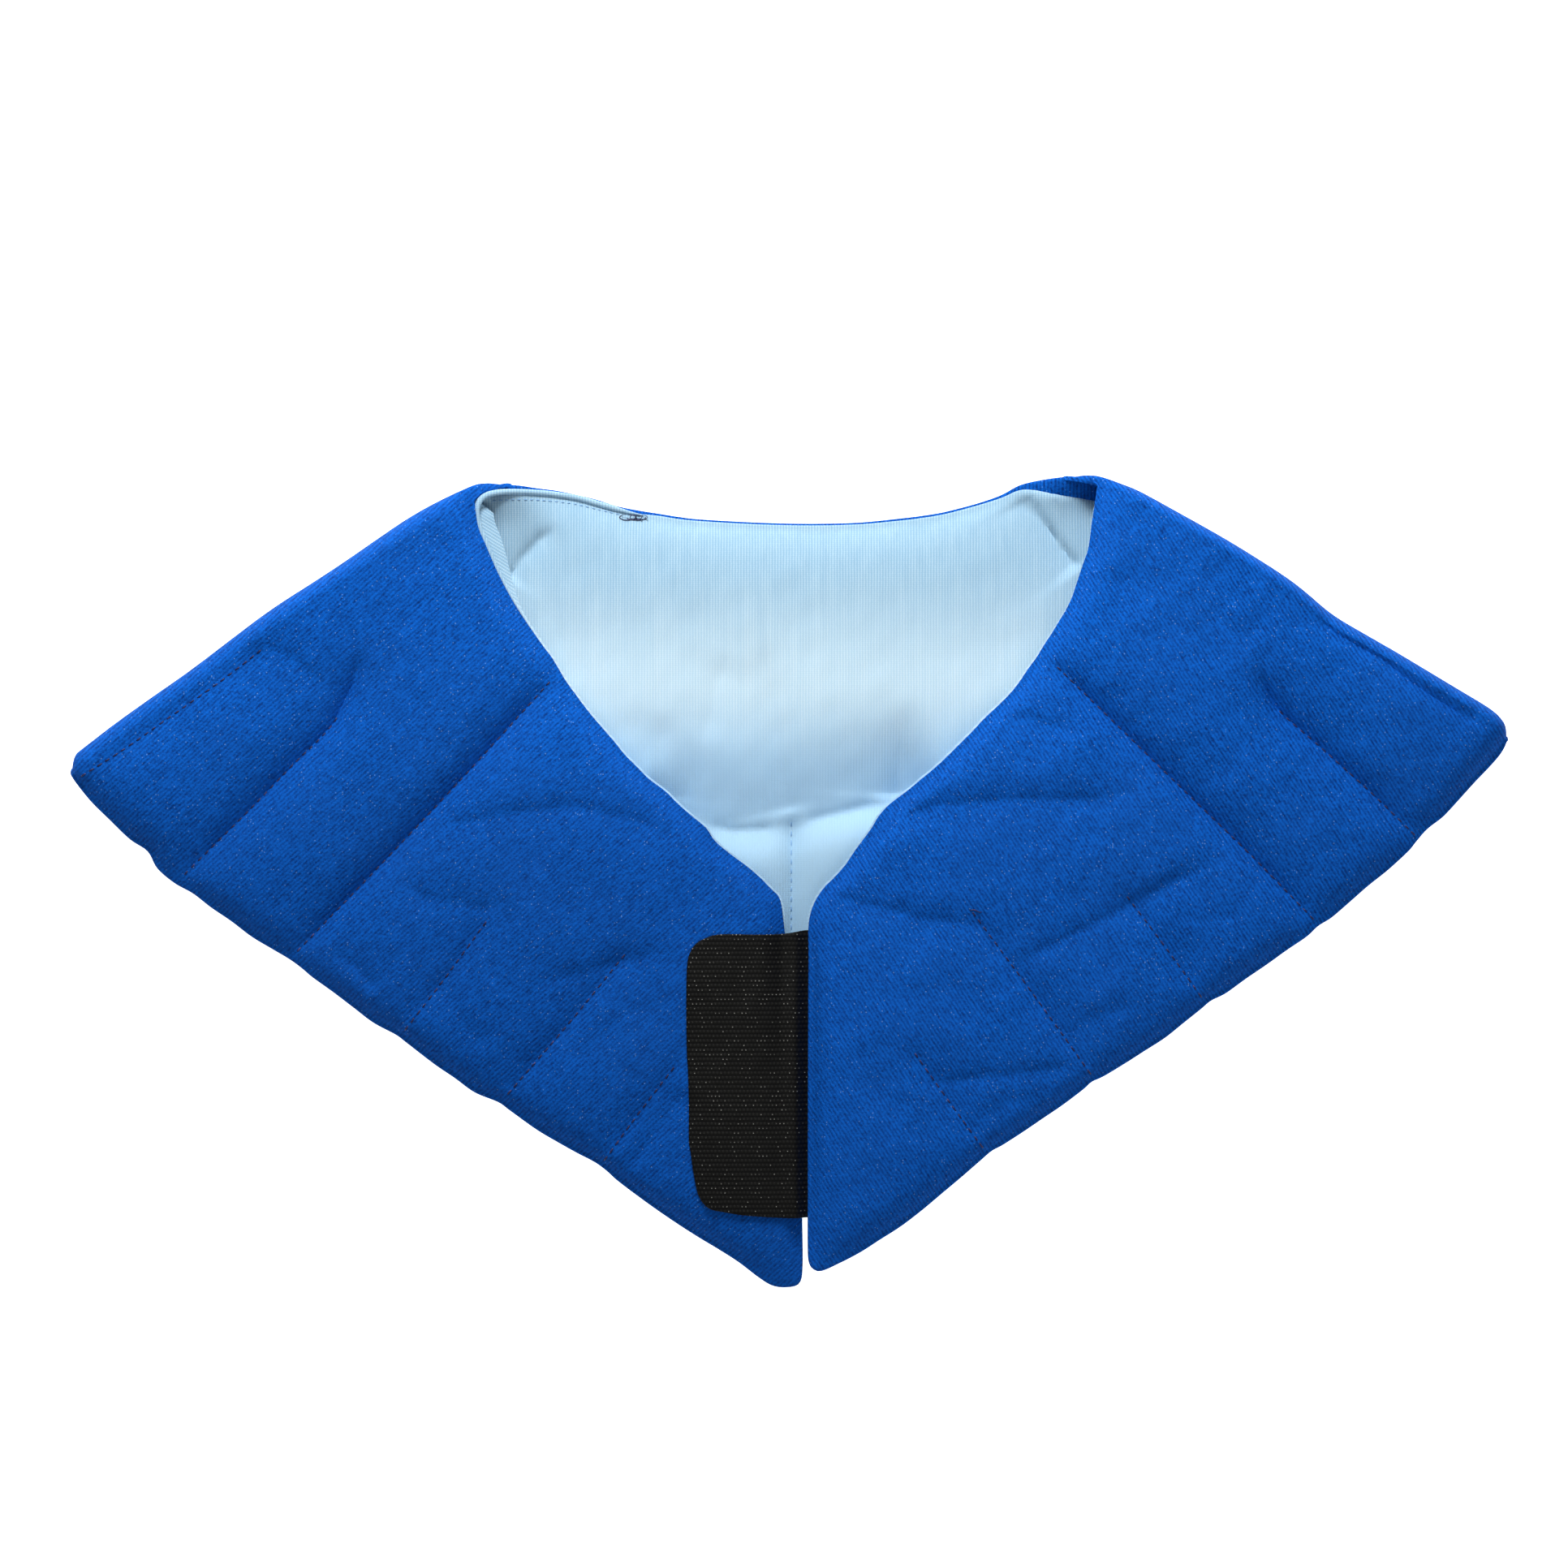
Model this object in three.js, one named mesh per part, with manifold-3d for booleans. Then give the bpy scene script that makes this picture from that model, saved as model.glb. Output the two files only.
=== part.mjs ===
// Padded shoulder cape with a hook-and-loop front tab, lying flat and closed.
//
// Units are millimetres and +Z is up. The cape is a C-shaped quilted pad that
// folds over both shoulders: the back panel lies underneath with its lining up,
// and the two front panels lie folded over it with their outer cloth up. The
// right front carries a tab of hook tape that grips the brushed outer cloth of
// the left front. "Left" and "right" are the sides seen from above with the
// neck towards +Y, so -X is left.
//
// Each panel is a cover of brushed cloth and a lining sheet, both shells with a
// rounded rim, around fills that are parted by rows of quilting stitches.
import * as THREE from 'three';
import { mergeVertices } from 'three/addons/utils/BufferGeometryUtils.js';
import Module from 'manifold-3d';

const wasm = await Module();
wasm.setup();

// ---------------------------------------------------------------- dimensions
const CLOTH = 1.2;            // thickness of the outer cloth and the lining
const GAP = 0.3;              // clearance between neighbouring pieces
const FILL_GAP = 0.5;         // clearance of the fills inside the covers
const PANEL_THICKNESS = 14.6; // one quilted layer, cloth to cloth
const LAYER_SPACE = 2.4;      // between the back panel and the fronts
const BACK_Z = 0;
const FRONT_Z = BACK_Z + PANEL_THICKNESS + LAYER_SPACE;
const RIM_WIDTH = 7;          // how far the rounded rim runs in from the edge
const RIM_HEIGHT = 6;         // how much of the thickness the rim takes
const RIM_STEPS = 2;
const RIM_SEAM = 3.0;         // height of the edge seam above the lining face
const QUILT_GAP = 0.95;       // half the channel left free for a stitch row
const STITCH_ROW = 1.1;       // width of a stitch row
const TAB_HOOK_Z = FRONT_Z + PANEL_THICKNESS + 0.3;
const TAB_HOOKS = 0.9;        // height of the hook field
const TAB_TAPE = 1.0;         // thickness of the woven tape
const TAB_BORDER = 2.5;       // plain border of the tape around the hooks
const ANCHOR_X = [5.75, 6.85];
const ANCHOR_Y = [-122.0, -21.0];
const ANCHOR_Z = [20.0, 32.6];

// ------------------------------------------------------------------ outlines
// Front left, from the neck end of the shoulder fold, along the fold, the hem,
// the front edge and back up the neckline.
const FRONT_LEFT_OUTLINE = [
  [-113.5, 147.6], [-130.7, 140.1], [-145.7, 130.8], [-160.7, 120.3], [-175.7, 110.4], [-190.7, 100.8],
  [-205.7, 89.7], [-220.7, 78.3], [-235.6, 67.8], [-250.6, 57.0], [-266.6, 44.4], [-250.6, 22.8],
  [-228.2, 1.8], [-205.7, -15.0], [-183.2, -30.3], [-160.7, -46.5], [-138.2, -62.1], [-115.6, -78.0],
  [-93.1, -91.9], [-70.6, -105.0], [-48.1, -121.5], [-25.6, -135.9], [-7.6, -149.7], [4.0, -150.0],
  [4.6, -124.2], [4.0, -94.2], [2.5, -64.2], [0.8, -40.2], [-1.6, -16.2], [-12.2, 2.7],
  [-27.1, 15.3], [-40.6, 28.8], [-54.1, 40.8], [-66.8, 54.9], [-77.5, 68.4], [-86.5, 82.2],
  [-99.1, 98.4], [-105.8, 114.0], [-115.3, 130.8],
];
const FRONT_RIGHT_OUTLINE = [
  [115.6, 150.0], [131.8, 142.5], [146.8, 134.5], [161.8, 125.7], [176.8, 116.7], [191.8, 105.3],
  [206.8, 95.4], [221.8, 86.8], [236.8, 77.4], [251.8, 68.1], [266.6, 55.8], [253.3, 36.0],
  [236.8, 17.4], [221.8, 4.0], [206.8, -8.4], [191.8, -20.4], [176.8, -31.3], [161.8, -41.4],
  [139.3, -57.6], [116.8, -72.0], [94.3, -87.6], [71.8, -102.9], [49.4, -121.8], [26.8, -137.1],
  [7.9, -145.8], [7.6, -118.2], [7.2, -78.2], [7.3, -38.2], [7.6, -10.2],
  [14.8, -0.6], [24.1, 10.8], [34.4, 25.2], [49.0, 37.8], [63.8, 51.3], [77.2, 64.8],
  [88.3, 78.3], [98.0, 92.4], [105.5, 107.7], [111.5, 124.8], [112.6, 139.8],
];
const BACK_OUTLINE = [
  [-111.1, 147.0], [-85.6, 144.9], [-70.6, 141.7], [-55.6, 137.7], [-33.1, 134.4], [-3.1, 132.9],
  [26.8, 133.2], [49.4, 135.6], [64.3, 138.6], [79.3, 143.1], [94.3, 148.2], [115.6, 149.7],
  [131.8, 142.5], [146.8, 134.5], [161.8, 125.7], [176.8, 116.7], [191.8, 105.3], [206.8, 95.4],
  [221.8, 86.8], [236.8, 77.4], [251.8, 68.1], [265.6, 55.8], [242.8, 28.8], [218.8, 7.8],
  [188.8, -13.2], [152.8, -32.7], [113.8, -47.7], [59.8, -59.7], [1.3, -64.2], [-57.1, -61.2],
  [-111.1, -49.2], [-150.2, -35.7], [-183.2, -19.2], [-219.2, 4.8], [-246.1, 25.8], [-265.3, 44.4],
  [-250.6, 57.0], [-235.6, 67.8], [-220.7, 78.3], [-205.7, 89.7], [-190.7, 100.8], [-175.7, 110.4],
  [-160.7, 120.3], [-145.7, 130.8], [-130.7, 140.1],
];
const TAB_OUTLINE = [
  [-28.3, -19.8], [-33.8, -22.8], [-36.8, -27.3], [-37.4, -31.8], [-37.4, -63.0], [-36.4, -76.2],
  [-36.4, -95.4], [-34.9, -106.2], [-33.8, -113.4], [-31.0, -118.5], [-27.1, -121.5], [-18.1, -123.0],
  [-6.1, -123.9], [6.1, -124.2], [6.1, -18.3], [-0.8, -19.2], [-24.8, -19.5],
];

// Quilting lines, each from outside the hem to outside the neck or fold. The
// second point lies at the hem and the third is where the stitches end; the
// rest carries the parting line on between the fills.
const FRONT_LEFT_SEAMS = [
  [[-240.1, -14.7], [-225.2, 0.3], [-168.2, 57.3], [-141.2, 133.8], [-129.2, 163.8]],
  [[-201.2, -47.7], [-183.2, -28.2], [-94.4, 67.3], [-61.6, 102.3]],
  [[-160.7, -80.7], [-142.7, -56.7], [-111.1, -14.7], [-62.5, 49.8], [-40.6, 78.9]],
  [[-127.6, -107.7], [-105.1, -80.7], [-58.6, -25.2], [-26.2, 13.8], [-3.1, 41.4]],
  [[-91.6, -134.7], [-69.1, -104.7], [-42.1, -68.7], [-1.6, -15.6], [20.8, 13.8]],
];
const FRONT_RIGHT_SEAMS = [
  [[251.8, 0.3], [233.8, 15.3], [179.8, 64.8], [170.8, 118.8], [165.4, 151.8]],
  [[218.8, -38.4], [196.3, -16.2], [105.1, 73.6], [74.8, 103.5]],
  [[172.3, -68.7], [154.3, -44.7], [124.3, -4.2], [74.0, 63.3], [53.9, 90.3]],
  [[134.8, -101.7], [113.8, -73.2], [67.3, -10.2], [35.9, 30.3], [16.3, 55.8]],
  [[91.3, -125.7], [73.3, -100.2], [46.4, -62.7], [9.8, -7.2], [-6.1, 16.8]],
];
const BACK_SEAMS = [
  [[-210.2, -57.3], [-189.2, -15.6], [-147.2, 67.8], [-113.8, 133.8], [-99.1, 163.8]],
  [[-131.2, -75.6], [-123.1, -45.6], [-96.1, 54.3], [-71.5, 145.8], [-66.1, 165.3]],
  [[-64.0, -91.2], [-60.1, -60.6], [-47.5, 37.8], [-34.9, 136.8], [-31.6, 162.3]],
  [[1.3, -94.2], [1.3, -64.2], [1.3, 22.8], [1.3, 132.6], [1.3, 160.8]],
  [[64.0, -89.7], [58.3, -59.4], [40.0, 39.3], [22.1, 136.8], [17.8, 162.3]],
  [[130.7, -75.6], [121.3, -45.6], [89.8, 55.8], [61.9, 145.8], [56.9, 163.8]],
  [[209.5, -40.8], [191.8, -10.8], [143.8, 70.8], [99.8, 145.8], [89.8, 162.3]],
];

// ----------------------------------------------------------------- materials
const cover = new THREE.MeshStandardMaterial({ color: 0x1558b0, roughness: 0.95, metalness: 0 });
const lining = new THREE.MeshStandardMaterial({ color: 0x9cc6e2, roughness: 0.9, metalness: 0 });
const fill = new THREE.MeshStandardMaterial({ color: 0xd8d2c0, roughness: 1, metalness: 0 });
const thread = new THREE.MeshStandardMaterial({ color: 0x1a2350, roughness: 0.7, metalness: 0 });
const tape = new THREE.MeshStandardMaterial({ color: 0x17181a, roughness: 0.8, metalness: 0 });
const hooks = new THREE.MeshStandardMaterial({ color: 0x101113, roughness: 0.5, metalness: 0 });

// ------------------------------------------------------------------- helpers
function shapeOf(points) {
  const s = new THREE.Shape(points.map(([x, y]) => new THREE.Vector2(x, y)));
  return s;
}

function solid(geometry) {
  const g = geometry.clone();
  g.deleteAttribute('normal');
  g.deleteAttribute('uv');
  const m = mergeVertices(g, 1e-4);
  return new wasm.Manifold(new wasm.Mesh({
    numProp: 3,
    vertProperties: new Float32Array(m.attributes.position.array),
    triVerts: new Uint32Array(m.index.array),
  }));
}

function geometryOf(manifold) {
  const mesh = manifold.getMesh();
  const g = new THREE.BufferGeometry();
  g.setAttribute('position', new THREE.BufferAttribute(new Float32Array(mesh.vertProperties), 3));
  g.setIndex(new THREE.BufferAttribute(new Uint32Array(mesh.triVerts), 1));
  g.computeVertexNormals();
  return g;
}

// A flat pad with a rounded rim: the outline is its widest section, and every
// face lies `inset` inside the full pad.
function pillow(points, z0, z1, inset) {
  const lo = z0 + inset;
  const hi = z1 - inset;
  const rise = RIM_HEIGHT - inset;
  const g = new THREE.ExtrudeGeometry(shapeOf(points), {
    depth: hi - lo - 2 * rise,
    steps: 1,
    bevelEnabled: true,
    bevelThickness: rise,
    bevelSize: RIM_WIDTH - inset,
    bevelOffset: -RIM_WIDTH,
    bevelSegments: RIM_STEPS,
  });
  g.translate(0, 0, lo + rise);
  return solid(g);
}

function slab(z0, z1) {
  const g = new THREE.BoxGeometry(800, 800, z1 - z0);
  g.translate(0, 0, (z0 + z1) / 2);
  return solid(g);
}

function prism(points, z0, z1) {
  const g = new THREE.ExtrudeGeometry(shapeOf(points), { depth: z1 - z0, bevelEnabled: false });
  g.translate(0, 0, z0);
  return solid(g);
}

// A polyline moved sideways by d, to the left of its direction when d > 0.
function shifted(line, d) {
  return line.map((p, i) => {
    const a = line[Math.max(0, i - 1)];
    const b = line[Math.min(line.length - 1, i + 1)];
    const n1 = [-(p[1] - a[1]), p[0] - a[0]];
    const n2 = [-(b[1] - p[1]), b[0] - p[0]];
    const l1 = Math.hypot(...n1) || 1;
    const l2 = Math.hypot(...n2) || 1;
    let n = [n1[0] / l1 + n2[0] / l2, n1[1] / l1 + n2[1] / l2];
    const l = Math.hypot(...n);
    n = [n[0] / l, n[1] / l];
    const ref = Math.hypot(...n1) > 1e-6 ? [n1[0] / l1, n1[1] / l1] : [n2[0] / l2, n2[1] / l2];
    const c = n[0] * ref[0] + n[1] * ref[1];
    return [p[0] + (n[0] * d) / c, p[1] + (n[1] * d) / c];
  });
}

const cape = new THREE.Group();

function add(name, geometry, material, parent) {
  const mesh = new THREE.Mesh(geometry, material);
  mesh.name = name;
  parent.add(mesh);
  return mesh;
}

// One quilted panel. `coverUp` tells which face the outer cloth is on. The
// seams run in order across the panel; `first` and `last` are far lines beyond
// its two ends.
function panel(label, points, z0, coverUp, seams, first, last) {
  const group = new THREE.Group();
  const z1 = z0 + PANEL_THICKNESS;
  const shell = pillow(points, z0, z1, 0).subtract(pillow(points, z0, z1, CLOTH));
  const seamZ = coverUp ? z0 + RIM_SEAM : z1 - RIM_SEAM;
  const lower = shell.intersect(slab(z0 - 5, seamZ - GAP / 2));
  const upper = shell.intersect(slab(seamZ + GAP / 2, z1 + 5));
  add(label + '_outer_cover', geometryOf(coverUp ? upper : lower), cover, group);
  add(label + '_lining', geometryOf(coverUp ? lower : upper), lining, group);

  const stuffing = pillow(points, z0, z1, CLOTH + FILL_GAP);
  const lines = [first, ...seams, last];
  for (let i = 0; i + 1 < lines.length; i += 1) {
    const a = shifted(lines[i], i === 0 ? 0 : -QUILT_GAP);
    const b = shifted(lines[i + 1], i + 2 === lines.length ? 0 : QUILT_GAP);
    const region = prism([...a, ...b.reverse()], z0 - 5, z1 + 5);
    add(label + '_fill_' + (i + 1), geometryOf(stuffing.intersect(region)), fill, group);
  }

  // The stitch rows tie the two cloths together along the sewn stretch.
  seams.forEach((line, i) => {
    const a = line[1];
    const b = line[2];
    const dx = b[0] - a[0];
    const dy = b[1] - a[1];
    const l = Math.hypot(dx, dy);
    const start = RIM_WIDTH + CLOTH + 4;
    const row = new THREE.BoxGeometry(l - start, STITCH_ROW, PANEL_THICKNESS - 2 * CLOTH - 2 * GAP);
    const mesh = add(label + '_stitch_row_' + (i + 1), row, thread, group);
    const t = (start + (l - start) / 2) / l;
    mesh.position.set(a[0] + dx * t, a[1] + dy * t, (z0 + z1) / 2);
    mesh.rotation.z = Math.atan2(dy, dx);
  });
  cape.add(group);
  return group;
}

// -------------------------------------------------------------------- panels
// The lines run in order from the left to the right, each from hem to neck.
panel('back', BACK_OUTLINE, BACK_Z, false, BACK_SEAMS,
  [[-320, -160], [-320, 260]], [[320, -160], [320, 260]]);
panel('front_left', FRONT_LEFT_OUTLINE, FRONT_Z, true, FRONT_LEFT_SEAMS,
  [[-340, 60], [-180, 260]], [[60, -220], [60, 60]]);
panel('front_right', FRONT_RIGHT_OUTLINE, FRONT_Z, true, [...FRONT_RIGHT_SEAMS].reverse(),
  [[-60, -220], [-60, 60]], [[340, 60], [180, 260]]);

// ----------------------------------------------------------------------- tab
const tab = new THREE.Group();
const hookField = new THREE.ExtrudeGeometry(shapeOf(TAB_OUTLINE), {
  depth: TAB_HOOKS - 0.2,
  bevelEnabled: true,
  bevelThickness: 0.1,
  bevelSize: 0.1,
  bevelOffset: -TAB_BORDER,
  bevelSegments: 1,
});
hookField.translate(0, 0, TAB_HOOK_Z + 0.1);
add('closure_tab_hooks', geometryOf(solid(hookField)), hooks, tab);
const tapeSheet = new THREE.ExtrudeGeometry(shapeOf(TAB_OUTLINE), {
  depth: TAB_TAPE - 0.6,
  bevelEnabled: true,
  bevelThickness: 0.3,
  bevelSize: 0.3,
  bevelOffset: -0.3,
  bevelSegments: 1,
});
tapeSheet.translate(0, 0, TAB_HOOK_Z + TAB_HOOKS + GAP + 0.3);
add('closure_tab_tape', geometryOf(solid(tapeSheet)), tape, tab);
cape.add(tab);

// The sewn root of the tab stands between the two front edges.
const anchor = new THREE.BoxGeometry(
  ANCHOR_X[1] - ANCHOR_X[0], ANCHOR_Y[1] - ANCHOR_Y[0], ANCHOR_Z[1] - ANCHOR_Z[0]);
const anchorMesh = add('closure_tab_anchor', anchor, tape, cape);
anchorMesh.position.set(
  (ANCHOR_X[0] + ANCHOR_X[1]) / 2, (ANCHOR_Y[0] + ANCHOR_Y[1]) / 2, (ANCHOR_Z[0] + ANCHOR_Z[1]) / 2);

export default cape;
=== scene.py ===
"""A padded shoulder cape, folded flat and closed with its hook tab.

The quilted pad is modelled layer by layer: each front lies over the back and runs into it round its
shoulder fold. Lengths in this script are millimetres in the frame of the model; meshes are in metres.
"""
import math

import bpy
import bmesh
import numpy as np
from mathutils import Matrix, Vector
from mathutils.geometry import delaunay_2d_cdt


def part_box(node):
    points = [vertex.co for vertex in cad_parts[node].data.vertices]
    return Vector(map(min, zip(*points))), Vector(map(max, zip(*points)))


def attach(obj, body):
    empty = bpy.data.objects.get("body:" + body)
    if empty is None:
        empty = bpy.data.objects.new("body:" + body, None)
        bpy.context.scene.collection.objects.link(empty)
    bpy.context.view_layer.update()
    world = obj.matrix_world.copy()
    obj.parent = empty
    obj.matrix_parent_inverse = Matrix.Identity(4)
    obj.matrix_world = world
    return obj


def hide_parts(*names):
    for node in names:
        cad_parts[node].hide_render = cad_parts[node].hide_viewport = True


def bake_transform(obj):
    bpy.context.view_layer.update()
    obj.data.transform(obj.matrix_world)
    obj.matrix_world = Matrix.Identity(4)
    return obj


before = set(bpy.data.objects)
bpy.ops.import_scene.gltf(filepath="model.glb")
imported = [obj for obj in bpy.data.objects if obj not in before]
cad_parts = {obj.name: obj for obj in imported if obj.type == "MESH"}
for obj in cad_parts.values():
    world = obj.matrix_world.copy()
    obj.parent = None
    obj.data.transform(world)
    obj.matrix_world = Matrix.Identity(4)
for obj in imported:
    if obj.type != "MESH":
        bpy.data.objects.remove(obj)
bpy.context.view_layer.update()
MM = 0.001
FINE = 1.5
COARSE = 3.2

# ------------------------------------------------------------------ the frame's numbers
front_lo, front_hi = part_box("front_left_outer_cover")
lining_lo, lining_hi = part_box("front_left_lining")
back_lo, back_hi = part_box("back_lining")
FRONT_TOP = front_hi.z / MM            # 31.6
FRONT_BASE = lining_lo.z / MM          # 17.0
BACK_TOP = back_hi.z / MM              # 14.6
AXIS_Z = (FRONT_BASE + BACK_TOP) / 2   # the folds' own height
FOLD_WIDTH = {"left": 6.4, "right": 4.0}   # how far the rolled part of a fold reaches in

# ------------------------------------------------------------------ small geometry tools


def arr(points):
    return np.array(points, float).reshape(-1, 2)


def smooth_curve(points, step, closed=False):
    """Points every `step` along a Catmull-Rom curve through the given ones."""
    p = np.array(points, float)
    n = len(p)
    out = []
    for i in range(n - 1):
        p0 = p[i - 1] if i > 0 else 2 * p[0] - p[1]
        p1, p2 = p[i], p[i + 1]
        p3 = p[i + 2] if i + 2 < n else 2 * p[-1] - p[-2]
        k = max(4, int(np.linalg.norm(p2 - p1) / 0.4))
        for t in np.linspace(0, 1, k, endpoint=False):
            a = (
                -0.5 * t + t * t - 0.5 * t**3,
                1 - 2.5 * t * t + 1.5 * t**3,
                0.5 * t + 2 * t * t - 1.5 * t**3,
                -0.5 * t * t + 0.5 * t**3,
            )
            out.append(a[0] * p0 + a[1] * p1 + a[2] * p2 + a[3] * p3)
    out.append(p[-1])
    out = np.array(out)
    return resample(out, max(2, int(round(length(out) / step)) + 1))


def length(p):
    return float(np.linalg.norm(np.diff(p, axis=0), axis=1).sum())


def resample(p, count):
    d = np.concatenate([[0], np.cumsum(np.linalg.norm(np.diff(p, axis=0), axis=1))])
    t = np.linspace(0, d[-1], count)
    return np.stack([np.interp(t, d, p[:, k]) for k in range(p.shape[1])], 1)


def smoothstep(t):
    t = np.clip(t, 0, 1)
    return t * t * (3 - 2 * t)


def line_distance(xy, poly):
    """For each point: distance to the polyline, signed side (+ on the left) and the share of the way along."""
    best = np.full(len(xy), 1e9)
    side = np.ones(len(xy))
    along = np.zeros(len(xy))
    seg = np.linalg.norm(np.diff(poly, axis=0), axis=1)
    total = seg.sum()
    run = 0.0
    for i in range(len(poly) - 1):
        a, b = poly[i], poly[i + 1]
        ab = b - a
        t = np.clip(((xy - a) @ ab) / (ab @ ab), 0, 1)
        q = a + t[:, None] * ab
        d = np.linalg.norm(xy - q, axis=1)
        near = d < best
        best = np.where(near, d, best)
        cross = ab[0] * (xy[:, 1] - a[1]) - ab[1] * (xy[:, 0] - a[0])
        side = np.where(near, np.sign(cross) + (cross == 0), side)
        along = np.where(near, (run + t * seg[i]) / total, along)
        run += seg[i]
    return best, side, along


def window(along, a, b):
    """1 in the middle, falling to 0 over the share a at the start and b at the end."""
    w = np.ones_like(along)
    if a > 0:
        w = w * smoothstep(along / a)
    if b > 0:
        w = w * smoothstep((1 - along) / b)
    return w


def valley(xy, poly, depth, left, right, start=0.0, end=0.25, power=1.0):
    d, side, along = line_distance(xy, poly)
    lam = np.where(side > 0, left, right)
    return -depth * window(along, start, end) * np.exp(-((d / lam) ** power))


def roll(xy, poly, height, width, start=0.3, end=0.3):
    """A soft fold: a ridge on the left of the line and a valley on its right."""
    d, side, along = line_distance(xy, poly)
    s = d * side / width
    return height * window(along, start, end) * 1.65 * s * np.exp(-s * s)


def noise(xy, size, seed):
    """Smooth seeded noise, about -1 to 1."""
    rng = np.random.default_rng(seed)
    total = np.zeros(len(xy))
    for k in range(10):
        ang = rng.uniform(0, math.tau)
        f = rng.uniform(0.6, 1.5) * math.tau / size
        ph = rng.uniform(0, math.tau)
        total += np.sin((xy[:, 0] * math.cos(ang) + xy[:, 1] * math.sin(ang)) * f + ph)
    return total / 10 * 1.6


def inside(xy, poly):
    x, y = xy[:, 0], xy[:, 1]
    res = np.zeros(len(xy), bool)
    n = len(poly)
    j = n - 1
    for i in range(n):
        xi, yi = poly[i]
        xj, yj = poly[j]
        cond = (yi > y) != (yj > y)
        with np.errstate(divide="ignore", invalid="ignore"):
            xx = (xj - xi) * (y - yi) / (yj - yi) + xi
        res ^= cond & (x < xx)
        j = i
    return res


def thin_out(points, keep, radius):
    """The points that lie further than radius from every point of keep."""
    if len(keep) == 0 or len(points) == 0:
        return points
    cell = {}
    for q in keep:
        cell.setdefault((int(q[0] // radius), int(q[1] // radius)), []).append(q)
    ok = np.ones(len(points), bool)
    for i, q in enumerate(points):
        cx, cy = int(q[0] // radius), int(q[1] // radius)
        for dx in (-1, 0, 1):
            for dy in (-1, 0, 1):
                for r in cell.get((cx + dx, cy + dy), ()):
                    if (r[0] - q[0]) ** 2 + (r[1] - q[1]) ** 2 < radius * radius:
                        ok[i] = False
    return points[ok]


def triangulate(boundary, seams, spacing, fine=None, fine_spacing=None):
    """Triangles inside a closed boundary. Its own points come first and keep their order; seams are lines that edges follow."""
    pts = [tuple(p) for p in boundary]
    n = len(pts)
    edges = [(i, (i + 1) % n) for i in range(n)]
    extra = []
    for line, offsets in seams:
        base = resample(line, max(2, int(length(line) / 1.4) + 1))
        t = np.gradient(base, axis=0)
        t /= np.linalg.norm(t, axis=1)[:, None]
        nrm = np.stack([-t[:, 1], t[:, 0]], 1)
        for off in offsets:
            row = base + nrm * off
            ok = inside(row, boundary)
            d, _, _ = line_distance(row, np.vstack([boundary, boundary[:1]]))
            ok &= d > 0.9
            row = row[ok]
            if len(row) < 2:
                continue
            start = len(pts)
            pts += [tuple(p) for p in row]
            extra += [tuple(p) for p in row]
            if off == 0:
                edges += [(start + i, start + i + 1) for i in range(len(row) - 1)]

    def hexgrid(step, mask):
        lo, hi = boundary.min(0), boundary.max(0)
        xs = np.arange(lo[0], hi[0], step)
        ys = np.arange(lo[1], hi[1], step * 0.866)
        gx, gy = np.meshgrid(xs, ys)
        gx = gx + (np.arange(len(ys)) % 2)[:, None] * step / 2
        g = np.stack([gx.ravel(), gy.ravel()], 1)
        rng = np.random.default_rng(5)
        g += rng.uniform(-0.12, 0.12, g.shape) * step
        g = g[inside(g, boundary)]
        if mask is not None:
            g = g[mask(g)]
        d, _, _ = line_distance(g, np.vstack([boundary, boundary[:1]]))
        return g[d > step * 0.62]

    grids = []
    if fine is None:
        grids.append((hexgrid(spacing, None), spacing))
    else:
        grids.append((hexgrid(fine_spacing, fine), fine_spacing))
        coarse = hexgrid(spacing, lambda g: ~fine(g))
        grids.append((coarse, spacing))
    for g, step in grids:
        g = thin_out(g, extra, min(step, 1.5) * 0.72)
        pts += [tuple(p) for p in g]
    out = delaunay_2d_cdt([Vector(p) for p in pts], edges, [list(range(n))], 1, 1e-4)
    verts = np.array([tuple(v) for v in out[0]], float)
    faces = [tuple(f) for f in out[2]]
    where = {}
    for new, olds in enumerate(out[3]):
        for o in olds:
            where[o] = new
    order = [where[i] for i in range(n)]
    return verts, faces, order


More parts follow.
